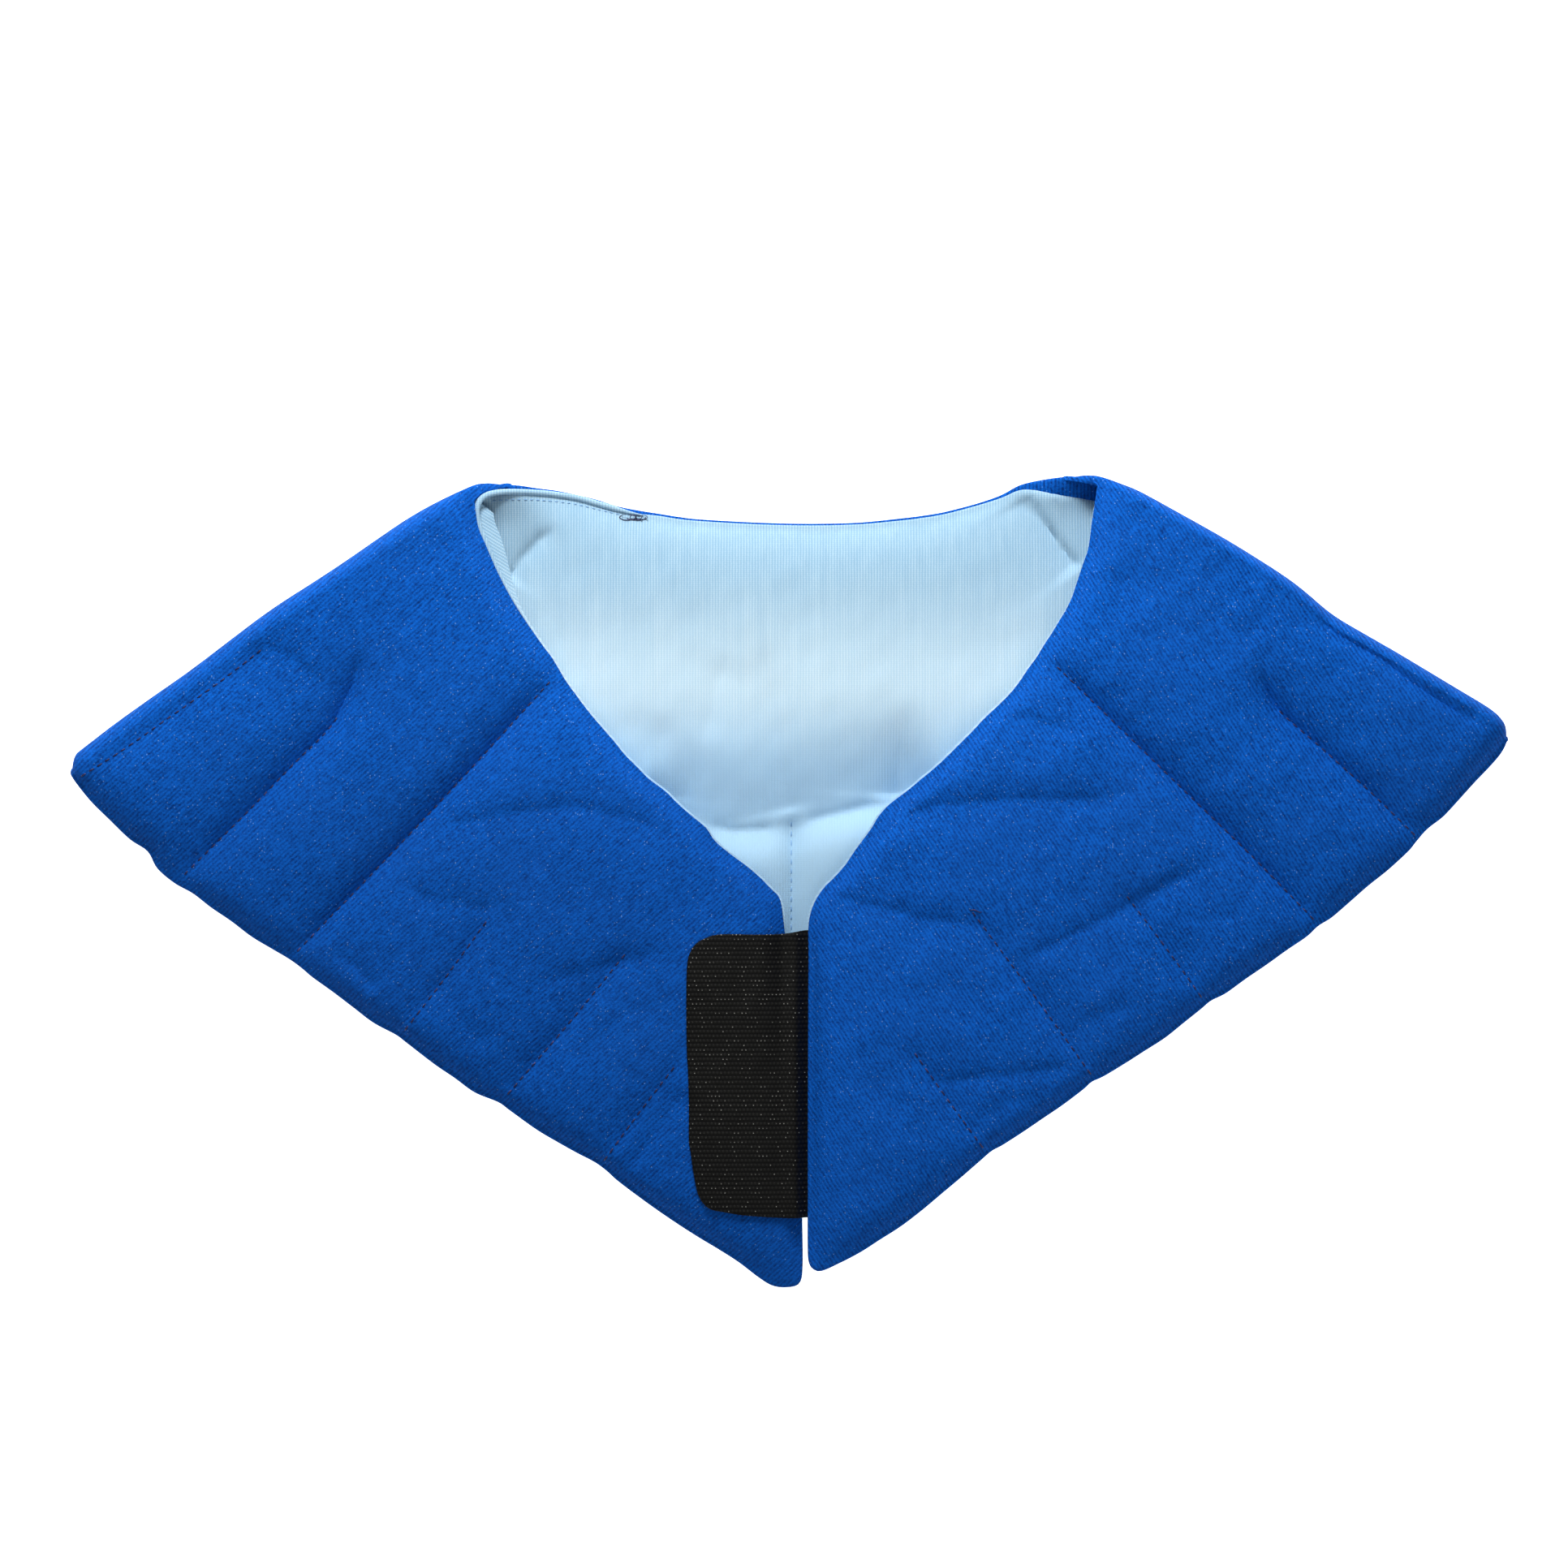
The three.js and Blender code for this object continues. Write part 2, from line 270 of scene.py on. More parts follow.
class Skin:
    """Collects the faces of one closed piece."""

    def __init__(self):
        self.co, self.uv, self.faces, self.mats = [], [], [], []

    def add(self, co, uv):
        base = len(self.co)
        self.co += [tuple(c) for c in co]
        self.uv += [tuple(u) for u in uv]
        return base

    def strip(self, a, b, mat, closed=False):
        n = len(a)
        for i in range(n if closed else n - 1):
            j = (i + 1) % n
            self.faces.append((a[i], a[j], b[j], b[i]))
            self.mats.append(mat)

    def build(self, name, materials, loose=1e-5):
        me = bpy.data.meshes.new(name)
        me.from_pydata([(x * MM, y * MM, z * MM) for x, y, z in self.co], [], self.faces)
        for m in materials:
            me.materials.append(m)
        me.polygons.foreach_set("material_index", self.mats)
        layer = me.uv_layers.new(name="UVMap")
        uv = np.array(self.uv)
        loops = np.zeros(len(me.loops), int)
        me.loops.foreach_get("vertex_index", loops)
        layer.data.foreach_set("uv", (uv[loops] * 0.01).ravel())
        bm = bmesh.new()
        bm.from_mesh(me)
        bmesh.ops.remove_doubles(bm, verts=bm.verts, dist=loose)
        bmesh.ops.dissolve_degenerate(bm, dist=1e-6, edges=bm.edges)
        bmesh.ops.recalc_face_normals(bm, faces=bm.faces)
        open_edges = sum(1 for e in bm.edges if len(e.link_faces) != 2)
        bm.to_mesh(me)
        bm.free()
        me.polygons.foreach_set("use_smooth", [True] * len(me.polygons))
        me.set_sharp_from_angle(angle=math.radians(62))
        me.update()
        obj = bpy.data.objects.new(name, me)
        bpy.context.scene.collection.objects.link(obj)
        print(name, len(me.vertices), "vertices", len(me.polygons), "faces", "open edges:", open_edges)
        return obj

# ------------------------------------------------------------------ outlines and seams, in mm
EDGE = 3.0            # thickness of a sewn edge
RIM = 1.25            # how far the rounded edge reaches in
R_END = 4.2           # half height of the folds at their ends
R_MID = 10.0          # and in the middle

LEFT_FOLD = [
    (-113.55, 147.6), (-130.65, 140.1), (-145.65, 130.8), (-160.65, 120.3), (-175.65, 110.4),
    (-190.65, 100.8), (-205.65, 89.7), (-220.65, 78.3), (-235.65, 67.8), (-250.65, 57),
    (-265.95, 45)
]
LEFT_HEM = [
    (-265.95, 43.8), (-264.75, 39), (-258.15, 30.3), (-250.65, 22.8), (-243.15, 15.6),
    (-236.55, 11.1), (-232.95, 4.8), (-226.65, -0.6), (-219.75, -4.5), (-213.15, -9.6),
    (-205.65, -14.7), (-198.15, -20.4), (-190.65, -24.9), (-184.05, -28.8), (-179.55, -32.1),
    (-175.65, -35.4), (-168.15, -40.8), (-160.65, -46.5), (-153.15, -52.2), (-144.75, -56.7),
    (-141.15, -59.4), (-130.65, -67.5), (-123.15, -72.6), (-115.65, -78), (-106.95, -81.6),
    (-102.75, -84.6), (-93.15, -91.5), (-85.65, -96), (-78.15, -100.2), (-71.25, -103.8),
    (-66.75, -107.1), (-63.15, -110.4), (-55.65, -116.1), (-48.15, -121.5), (-40.65, -126.6),
    (-33.15, -131.4), (-25.65, -135.9), (-18.15, -140.7), (-10.65, -146.4), (-5.55, -149.4),
    (-0.15, -150), (4.35, -148.5), (5.55, -142.2), (5.4, -124.2), (4.95, -94.2), (3.45, -64.2),
    (1.35, -40.2), (-1.35, -16.2), (-2.85, -6.6), (-6.15, -2.7), (-11.25, 2.4), (-16.35, 6.6),
    (-22.05, 10.8), (-27.15, 15.3), (-30.15, 19.8), (-35.55, 24.3), (-40.65, 28.8), (-45.15, 33.3),
    (-51.15, 37.8), (-55.65, 42.3), (-60.15, 46.8), (-63.75, 51.3), (-67.65, 55.8), (-71.55, 60.3),
    (-75.15, 64.8), (-78.45, 69.3), (-81.75, 73.8), (-84.45, 78.3), (-87.15, 82.8), (-90.15, 86.7),
    (-94.65, 93), (-99.15, 99.6), (-103.05, 106.2), (-107.55, 115.2), (-111.75, 125.1),
    (-114.15, 130.8), (-115.35, 138.3)
]
RIGHT_FOLD = [
    (115.65, 149.7), (122.85, 147.9), (131.85, 143.4), (146.85, 135), (161.85, 126.6),
    (176.85, 117.3), (188.85, 109.2), (200.85, 99), (212.85, 91.8), (224.85, 84.9), (236.85, 77.7),
    (248.85, 70.5), (257.85, 65.1), (262.65, 61.5), (265.35, 57.9)
]
RIGHT_HEM = [
    (266.55, 54.3), (265.35, 50.4), (263.25, 46.8), (259.35, 42.3), (253.35, 36), (244.95, 26.7),
    (241.65, 23.4), (236.25, 19.2), (232.05, 14.4), (229.35, 11.1), (221.85, 4.2), (214.35, -1.8),
    (206.85, -8.4), (200.85, -13.5), (196.05, -16.5), (191.85, -20.4), (184.35, -25.5),
    (176.85, -30.9), (169.35, -36), (161.85, -41.4), (156.45, -44.1), (152.85, -47.1),
    (146.85, -51.9), (139.35, -57.9), (131.85, -62.7), (124.35, -67.5), (116.85, -72),
    (112.35, -74.1), (109.35, -76.8), (101.85, -82.5), (94.35, -87.6), (86.85, -92.7),
    (79.35, -97.5), (75.45, -99.6), (71.25, -103.2), (64.35, -109.2), (56.85, -115.5),
    (49.35, -121.8), (41.85, -127.5), (34.35, -132.3), (26.85, -137.1), (19.35, -141), (12.45, -144),
    (9.15, -143.1), (7.65, -140.1), (7.35, -133.2), (7.35, -118.2), (7.35, -88.2), (7.5, -58.2),
    (7.65, -28.2), (7.65, -17.1), (8.55, -11.4), (10.35, -6.9), (13.35, -2.4), (17.55, 1.8),
    (21.45, 6.3), (24.45, 10.8), (27.75, 15.3), (31.05, 19.8), (33.75, 24.3), (37.95, 28.8),
    (43.95, 33.3), (49.35, 37.8), (54.75, 42.3), (59.55, 46.8), (64.05, 51.3), (68.55, 55.8),
    (72.75, 60.3), (77.55, 64.8), (82.05, 69.3), (85.65, 73.8), (88.65, 78.3), (91.95, 82.8),
    (94.65, 87.3), (97.65, 91.8), (100.35, 96.3), (103.05, 100.8), (105.15, 105.3), (106.65, 109.8),
    (108.15, 114.3), (109.65, 118.8), (111.15, 123.3), (112.35, 132.3), (113.55, 140.4)
]
BACK_HEM = [
    (265.65, 54.3), (242.85, 28.2), (218.85, 7.8), (188.85, -13.2), (152.85, -32.7), (113.85, -47.7),
    (59.85, -59.7), (1.35, -64.2), (-57.15, -61.2), (-111.15, -49.2), (-150.15, -35.7),
    (-183.15, -19.2), (-219.15, 4.8), (-246.15, 25.8), (-265.35, 42.3)
]
BACK_NECK = [
    (-112.35, 147), (-100.65, 146.7), (-93.15, 145.8), (-85.65, 144.9), (-78.15, 143.4),
    (-70.65, 141.6), (-63.15, 139.2), (-55.65, 137.7), (-48.15, 136.5), (-40.65, 135.3),
    (-33.15, 134.4), (-18.15, 133.5), (-3.15, 132.9), (11.85, 132.75), (26.85, 133.2),
    (41.85, 134.7), (49.35, 135.6), (56.85, 136.8), (64.35, 138.6), (71.85, 140.7), (79.35, 143.4),
    (86.25, 147), (94.35, 148.8), (101.85, 149.7), (109.35, 150), (114.45, 149.7)
]
LINING_NECK = [
    (-119.55, 144.9), (-114.15, 144), (-109.35, 143.55), (-100.65, 144), (-91.05, 143.7),
    (-84.15, 143.1), (-77.25, 141.9), (-69.15, 139.8), (-62.85, 138), (-57.15, 136.5),
    (-48.15, 135.6), (-40.65, 134.4), (-33.15, 133.65), (-18.15, 132.75), (-3.15, 132.15),
    (11.85, 132), (26.85, 132.45), (41.85, 133.8), (49.35, 134.7), (56.85, 135.9), (64.35, 137.7),
    (71.85, 139.8), (79.35, 142.2), (87.45, 145.2), (98.85, 143.7), (107.85, 142.2), (114.45, 141),
    (121.65, 140.4), (128.85, 140.7)
]

LEFT_SEAMS = [
    ([(-265.35, 36), (-246.15, 48), (-228.15, 60.6), (-210.15, 73.2), (-193.65, 85.8)], 0.30, 0.55, 0.0),
    ([
    (-226.35, -0.9), (-201.15, 24), (-183.15, 42.6), (-168.15, 57.9), (-160.95, 72.3),
    (-152.55, 95.4)
], 0.06, 0.06, 0.36),
    ([(-184.65, -29.4), (-150.15, 6.3), (-117.15, 41.4), (-85.65, 76.2)], 0.05, 0.10, 0.0),
    ([(-143.85, -58.2), (-127.65, -37.2), (-110.25, -13.5)], 0.36, 0.74, 0.0),
    ([(-106.35, -81.9), (-81.15, -52.8), (-57.75, -24)], 0.30, 0.72, 0.0),
    ([(-70.05, -106.2), (-55.65, -86.4), (-40.95, -67.2)], 0.34, 0.74, 0.0),
]
RIGHT_SEAMS = [
    ([
    (261.45, 57), (250.35, 60.6), (238.05, 68.1), (229.35, 74.1), (219.75, 81.6), (202.65, 91.2),
    (190.95, 100.5)
], 0.97, 0.97, 0.0),
    ([(235.05, 13.8), (215.85, 32.4), (197.85, 48.6), (179.85, 64.8), (174.45, 76.8), (171.75, 89.4)], 0.06, 0.06, 0.34),
    ([(197.85, -17.7), (170.85, 9.9), (143.85, 36), (119.85, 59.4), (95.85, 82.8)], 0.05, 0.16, 0.0),
    ([(155.25, -46.2), (139.65, -24.6), (123.75, -3.6)], 0.30, 0.72, 0.0),
    ([(114.45, -74.7), (91.35, -42.6), (67.35, -10.2)], 0.30, 0.70, 0.0),
    ([(74.55, -101.7), (59.85, -81.6), (46.05, -62.1)], 0.34, 0.72, 0.0),
]
# stitches: the seam's number, where along it they begin and end
LEFT_STITCHED = [(0, 0.02, 1.0), (1, 0.01, 0.70), (2, 0.01, 0.99), (3, 0.01, 0.99), (4, 0.01, 0.99), (5, 0.01, 0.99)]
RIGHT_STITCHED = [(1, 0.01, 0.74), (2, 0.01, 0.99), (3, 0.01, 0.99), (4, 0.01, 0.99), (5, 0.01, 0.99)]
BACK_SEAMS = [
    ([(-210.15, -57.3), (-189.15, -15.6), (-156.15, 49.8)], 0.10, 0.4, 0.0),
    ([(-131.25, -75.6), (-123.15, -45.6), (-96.15, 54.3)], 0.10, 0.5, 0.0),
    ([(-64.05, -91.2), (-60.15, -60.6), (-47.55, 37.8)], 0.10, 0.86, 0.0),
    ([(1.35, -94.2), (1.35, -64.2), (1.35, -19.2), (1.35, 22.2)], 0.20, 0.30, 0.0),
    ([(64.05, -89.7), (58.35, -59.4), (40.05, 39.3)], 0.10, 0.86, 0.0),
    ([(130.65, -75.6), (121.35, -45.6), (89.85, 55.8)], 0.10, 0.5, 0.0),
    ([(209.55, -40.8), (191.85, -10.8), (155.85, 49.8)], 0.10, 0.4, 0.0),
]

STEP = 1.5
left_fold = smooth_curve(LEFT_FOLD, STEP)
right_fold = smooth_curve(RIGHT_FOLD, STEP)
left_edge = smooth_curve(LEFT_HEM, STEP)
right_edge = smooth_curve(RIGHT_HEM, STEP)
back_hem = smooth_curve(BACK_HEM, 2.4)
back_neck = smooth_curve(BACK_NECK, STEP)
lining_neck = smooth_curve(LINING_NECK, STEP)
FOLD_COUNT = {"left": len(left_fold), "right": len(right_fold)}


def outward(curve, centre):
    """Unit normals of an open curve that point away from the centre."""
    t = np.gradient(curve, axis=0)
    t /= np.linalg.norm(t, axis=1)[:, None]
    n = np.stack([-t[:, 1], t[:, 0]], 1)
    if np.sum((curve - centre) * n) < 0:
        n = -n
    return n


def cross_point(a, b):
    """Where two polylines cross: the point and the two running indices."""
    for i in range(len(a) - 1):
        p, r = a[i], a[i + 1] - a[i]
        for j in range(len(b) - 1):
            q, s = b[j], b[j + 1] - b[j]
            den = r[0] * s[1] - r[1] * s[0]
            if abs(den) < 1e-12:
                continue
            t = ((q[0] - p[0]) * s[1] - (q[1] - p[1]) * s[0]) / den
            u = ((q[0] - p[0]) * r[1] - (q[1] - p[1]) * r[0]) / den
            if 0 <= t <= 1 and 0 <= u <= 1:
                return p + t * r, i + t, j + u
    return None


def cut(curve, a, b):
    """The part of a polyline between two running indices."""
    ia, ib = int(math.ceil(a + 1e-9)), int(math.floor(b - 1e-9))
    at = lambda f: curve[int(f)] + (f - int(f)) * (curve[min(int(f) + 1, len(curve) - 1)] - curve[int(f)])
    return np.vstack([[at(a)], curve[ia : ib + 1], [at(b)]])


def longer(curve, amount):
    """The curve with both its ends carried on straight."""
    a = curve[0] + (curve[0] - curve[2]) / np.linalg.norm(curve[0] - curve[2]) * amount
    b = curve[-1] + (curve[-1] - curve[-3]) / np.linalg.norm(curve[-1] - curve[-3]) * amount
    return np.vstack([[a], curve, [b]])


def loop_of(parts, centre):
    """A closed boundary from parts in order: (kind, curve), kind 'fold' or 'edge'. Each part is moved in by its own
    amount and cut where it meets the next. Gives the stations, their outline points, their kinds and the fold ranges."""
    inner = []
    for kind, curve, rim in parts:
        n = outward(curve, centre)
        inner.append(longer(curve - n * rim, 22.0))
    count = len(parts)
    cuts = []
    for i in range(count):
        j = (i + 1) % count
        found = None
        # look only at the last part of one and the first of the next
        a, b = inner[i], inner[j]
        ka, kb = max(0, len(a) - 26), min(len(b), 26)
        found = cross_point(a[ka:], b[:kb])
        if found is None:
            raise RuntimeError(f"parts {i} and {j} don't meet")
        cuts.append((found[0], ka + found[1], found[2]))
    pts, outs, kinds, ranges = [], [], [], []
    for i in range(count):
        kind, curve, rim = parts[i]
        start = cuts[i - 1][2]
        end = cuts[i][1]
        c = cut(inner[i], start, end)
        if kind == "fold":
            c = resample(c, len(curve))
        else:
            # drop stations that crowd where the outline turns in
            d, _, _ = line_distance(c, longer(curve, 9.0))
            keep = d > rim * 0.9
            keep[0] = keep[-1] = True
            c = c[keep]
            step = np.linalg.norm(np.diff(c, axis=0), axis=1)
            keep = np.concatenate([[True], step > 0.35])
            keep[-1] = True
            c = c[keep]
        t = np.gradient(c, axis=0)
        t /= np.linalg.norm(t, axis=1)[:, None]
        n = np.stack([-t[:, 1], t[:, 0]], 1)
        if np.sum((c - centre) * n) < 0:
            n = -n
        first = len(pts)
        body = c[:-1]
        pts += [tuple(p) for p in body]
        outs += [tuple(v) for v in (n[:-1] * (rim if kind == "edge" else 0.0))]
        kinds += [i] * len(body)
        ranges.append((first, first + len(c)))
    return np.array(pts), np.array(outs), np.array(kinds), ranges


def relax(verts, faces, fixed, value, springs, target, reach):
    """Solves a membrane that is drawn to `target` within `reach` mm, held at fixed vertices and by springs."""
    f = np.array(faces)
    n = len(verts)
    a, b, c = verts[f[:, 0]], verts[f[:, 1]], verts[f[:, 2]]
    area = 0.5 * np.abs((b - a)[:, 0] * (c - a)[:, 1] - (b - a)[:, 1] * (c - a)[:, 0]) + 1e-9
    ei, ej, ew = [], [], []
    for p, q, r in ((0, 1, 2), (1, 2, 0), (2, 0, 1)):
        u = verts[f[:, p]] - verts[f[:, r]]
        v = verts[f[:, q]] - verts[f[:, r]]
        ei.append(f[:, p]), ej.append(f[:, q])
        ew.append(np.clip((u * v).sum(1) / (4 * area), 0.02, 5))
    ei, ej, ew = np.concatenate(ei), np.concatenate(ej), np.concatenate(ew)
    mass = np.bincount(f.ravel(), np.repeat(area / 3, 3), n)
    k2 = 1.0 / reach**2
    diag = np.bincount(ei, ew, n) + np.bincount(ej, ew, n) + k2 * mass + springs[0]
    rhs = k2 * mass * target + springs[0] * springs[1]
    free = ~fixed
    u = np.where(fixed, value, target)

    def apply(x):
        return diag * x - np.bincount(ei, ew * x[ej], n) - np.bincount(ej, ew * x[ei], n)

    r = np.where(free, rhs - apply(u), 0)
    z = r / diag
    p = z.copy()
    rz = r @ z
    for _ in range(500):
        ap = np.where(free, apply(p), 0)
        alpha = rz / max(p @ ap, 1e-30)
        u = u + alpha * p
        r = r - alpha * ap
        z = r / diag
        new = r @ z
        if new < 1e-12:
            break
        p = z + p * (new / rz)
        rz = new
    return u


def puff(verts, faces, loop_n, order, edge_fixed, edge_value, seams, target, reach, scale=1.0):
    fixed = np.zeros(len(verts), bool)
    value = np.zeros(len(verts))
    for i in range(loop_n):
        if edge_fixed[i]:
            fixed[order[i]] = True
            value[order[i]] = unshape(edge_value[i])
    k = np.zeros(len(verts))
    g = np.zeros(len(verts))
    for line, g0, g1, fade in seams:
        if g0 > 0.9:
            continue
        line = arr(line)
        d, _, along = line_distance(verts, line)
        on = d < 0.8
        strength = 3.0 * np.clip((1 - d / 0.8), 0, 1) + 0.3
        if fade > 0:
            strength = strength * (1 - smoothstep((along - (1 - fade)) / fade)) ** 2
            gv = np.full(len(verts), unshape(g0))
        else:
            gv = unshape(g0 + (g1 - g0) * along**2)
            strength = strength * (0.15 + 0.85 * smoothstep((1 - along) / 0.10))
        take = on & (strength > k)
        k = np.where(take, strength, k)
        g = np.where(take, gv, g)
    return relax(verts, faces, fixed, value, (k, g), target, reach)


SOFT = 0.26


def shape(u):
    return 1 - np.exp(-np.clip(u, 0, None) / SOFT)


def unshape(h):
    return -SOFT * np.log(1 - np.clip(h, 0, 0.97))


# ------------------------------------------------------------------ materials
def linear(rgb):
    out = []
    for c in rgb:
        c = c / 255
        out.append(c / 12.92 if c <= 0.04045 else ((c + 0.055) / 1.055) ** 2.4)
    return tuple(out) + (1.0,)


class Graph:
    def __init__(self, name):
        self.mat = bpy.data.materials.new(name)
        self.mat.use_nodes = True
        self.nt = self.mat.node_tree
        self.bsdf = self.nt.nodes["Principled BSDF"]
        self.coord = self.nt.nodes.new("ShaderNodeTexCoord").outputs["Object"]

    def node(self, kind, **inputs):
        n = self.nt.nodes.new(kind)
        for k, v in inputs.items():
            if k.startswith("_"):
                setattr(n, k[1:], v)
        for k, v in inputs.items():
            if k.startswith("_"):
                continue
            sock = n.inputs[int(k[1:])] if k[0] == "i" and k[1:].isdigit() else n.inputs[k.replace("__", " ")]
            if isinstance(v, bpy.types.NodeSocket):
                self.nt.links.new(v, sock)
            else:
                sock.default_value = v
        return n

    def math(self, op, a, b=0.0, clamp=False):
        return self.node("ShaderNodeMath", _operation=op, _use_clamp=clamp, i0=a, i1=b).outputs[0]

    def noise(self, size_mm, detail=2.0, rough=0.5, vector=None):
        return self.node("ShaderNodeTexNoise", Vector=vector or self.coord, Scale=1000.0 / size_mm, Detail=detail, Roughness=rough).outputs["Fac"]

    def turned(self, degrees):
        """The coordinate turned so that its X runs at that angle."""
        return self.node("ShaderNodeMapping", Vector=self.coord, Rotation=(0, 0, math.radians(-degrees))).outputs[0]

    def sine(self, value, pitch_mm, phase=0.0):
        w = self.math("MULTIPLY", value, math.tau * 1000 / pitch_mm)
        if not isinstance(phase, float) or phase:
            w = self.math("ADD", w, phase)
        s = self.math("SINE", w)
        return self.math("MULTIPLY_ADD" if False else "ADD", self.math("MULTIPLY", s, 0.5), 0.5)

    def split(self, vector):
        return self.node("ShaderNodeSeparateXYZ", Vector=vector).outputs

    def mix(self, fac, a, b):
        n = self.nt.nodes.new("ShaderNodeMix")
        n.data_type = "RGBA"
        for sock, v in ((n.inputs[0], fac), (n.inputs[6], a), (n.inputs[7], b)):
            if isinstance(v, bpy.types.NodeSocket):
                self.nt.links.new(v, sock)
            else:
                sock.default_value = v
        return n.outputs[2]

    def ramp(self, value, lo, hi):
        n = self.node("ShaderNodeMapRange", Value=value)
        n.inputs["From Min"].default_value = lo
        n.inputs["From Max"].default_value = hi
        n.interpolation_type = "SMOOTHSTEP"
        return n.outputs[0]

    def bump(self, height, distance, strength=1.0, normal=None):
        n = self.node("ShaderNodeBump", Height=height, Distance=distance, Strength=strength)
        if normal is not None:
            self.nt.links.new(normal, n.inputs["Normal"])
        return n.outputs[0]

    def to(self, name, value):
        sock = self.bsdf.inputs[name]
        if isinstance(value, bpy.types.NodeSocket):
            self.nt.links.new(value, sock)
        else:
            sock.default_value = value


BLUE = (13, 72, 158)


def cloth_material(name, rib_angle, level=1.0, painted_shade_bands=()):
    """Brushed loop cloth: slanted ribs 1.35 mm apart under a short nap, with scattered pale specks painted in as
    highlights, a painted brightness level and painted shade bands.
    """
    g = Graph(name)
    t = g.turned(rib_angle + 90)
    along = g.split(t)
    wander = g.math("MULTIPLY", g.noise(9, 2), 3.0)
    ribs = g.sine(along[0], 1.35, wander)
    fine = g.noise(0.9, 3, 0.7)
    clump = g.noise(2.2, 3, 0.6)
    broad = g.noise(38, 3, 0.55)
    lines = g.node("ShaderNodeMapping", Vector=t, Scale=(1.0, 0.28, 1.0)).outputs[0]
    streak = g.noise(1.1, 2, 0.6, lines)
    nap = g.math("ADD", g.math("MULTIPLY", ribs, 0.20), g.math("MULTIPLY", fine, 0.82))
    nap = g.math("ADD", nap, g.math("MULTIPLY", clump, 0.30))
    nap = g.math("ADD", nap, g.math("MULTIPLY", streak, 0.40))
    tone = g.ramp(nap, 0.50, 1.12)
    # painted light and shade: level brightens or darkens this copy of the cloth as a whole
    dark = tuple(c * level for c in linear((1, 44, 112))[:3]) + (1.0,)
    light = tuple(c * level for c in linear((8, 99, 205))[:3]) + (1.0,)
    col = g.mix(tone, dark, light)
    col = g.mix(g.math("MULTIPLY", g.ramp(broad, 0.35, 0.70), 0.20), col, linear((18, 84, 174)))
    # painted highlight: a few pale specks in the base colour stand in for glints off the nap
    specks = g.node("ShaderNodeTexVoronoi", Vector=g.coord, Scale=1000 / 0.85)
    lone = g.math("GREATER_THAN", g.split(specks.outputs["Color"])[0], 0.93)
    core = g.math("LESS_THAN", specks.outputs["Distance"], 0.30)
    glint = g.math("MULTIPLY", g.math("MULTIPLY", lone, core), 0.42)
    col = g.mix(glint, col, linear((120, 168, 226)))
    y = g.split(g.coord)[1]
    for start, end, amount in painted_shade_bands:  # painted shade: broad bands in mm over which the cloth is darkened towards the bottom, standing in for the weaker light there
        # painted shade: mixes the cloth towards dark blue, most at the low end of each band
        col = g.mix(g.math("MULTIPLY", g.ramp(g.math("MULTIPLY", y, 1000.0), start, end), amount), col, (0.0004, 0.018, 0.10, 1.0))
    g.to("Base Color", col)
    g.to("Roughness", g.math("ADD", 0.74, g.math("MULTIPLY", fine, 0.2)))
    g.to("Specular IOR Level", 0.08)
    g.to("Sheen Weight", 0.05)
    g.to("Sheen Roughness", 0.5)
    g.to("Sheen Tint", linear((30, 110, 225)))
    height = g.math("ADD", g.math("MULTIPLY", ribs, 0.16), g.math("MULTIPLY", fine, 0.9))
    height = g.math("ADD", height, g.math("MULTIPLY", clump, 0.6))
    g.to("Normal", g.bump(height, 0.00035, 0.9))
    return g.mat


def lining_material(name, angle=0.0):
    """Smooth knitted lining with fine upright wales."""
    g = Graph(name)
    t = g.turned(angle)
    s = g.split(t)
    wander = g.math("MULTIPLY", g.noise(14, 2), 2.6)
    wales = g.sine(s[0], 1.05, wander)
    rows = g.sine(s[1], 0.75, wander)
    fine = g.noise(0.5, 2, 0.6)
    long = g.noise(3.0, 2, 0.5, g.node("ShaderNodeMapping", Vector=t, Scale=(1.0, 0.05, 1.0)).outputs[0])
    broad = g.noise(30, 2)
    tone = g.math("ADD", g.math("MULTIPLY", wales, 0.32), g.math("MULTIPLY", rows, 0.12))
    tone = g.math("ADD", tone, g.math("MULTIPLY", fine, 0.30))
    tone = g.math("ADD", tone, g.math("MULTIPLY", long, 0.25))
    col = g.mix(g.ramp(tone, 0.28, 0.92), linear((186, 217, 235)), linear((222, 240, 248)))
    col = g.mix(g.math("MULTIPLY", broad, 0.3), col, linear((196, 226, 243)))
    y = g.math("MULTIPLY", g.split(g.coord)[1], 1000.0)
    # painted shade: the lining is darkened towards the neck edge (y from 70 to 122 mm)
    painted_neck_shade = g.math("MULTIPLY", g.ramp(y, 70, 122), 0.95)
    col = g.mix(painted_neck_shade, col, g.mix(g.ramp(tone, 0.28, 0.92), linear((132, 172, 200)), linear((178, 208, 224))))
    # painted shade: a bluer, darker band lower down (y 74 to 38 mm), where the crest's lower flank turns from the light
    col = g.mix(g.math("MULTIPLY", g.ramp(y, 74, 38), 0.60), col, linear((152, 202, 240)))
    # painted shade: darker again below the crease (y under 30 mm)
    col = g.mix(g.math("MULTIPLY", g.ramp(y, 30, 14), 0.80), col, linear((160, 194, 216)))
    g.to("Base Color", col)
    g.to("Roughness", g.math("ADD", 0.62, g.math("MULTIPLY", fine, 0.15)))
    g.to("Specular IOR Level", 0.25)
    g.to("Sheen Weight", 0.08)
    h = g.math("ADD", g.math("MULTIPLY", wales, 0.8), g.math("MULTIPLY", rows, 0.35))
    h = g.math("ADD", h, g.math("MULTIPLY", fine, 0.25))
    g.to("Normal", g.bump(h, 0.00012, 0.6))
    return g.mat


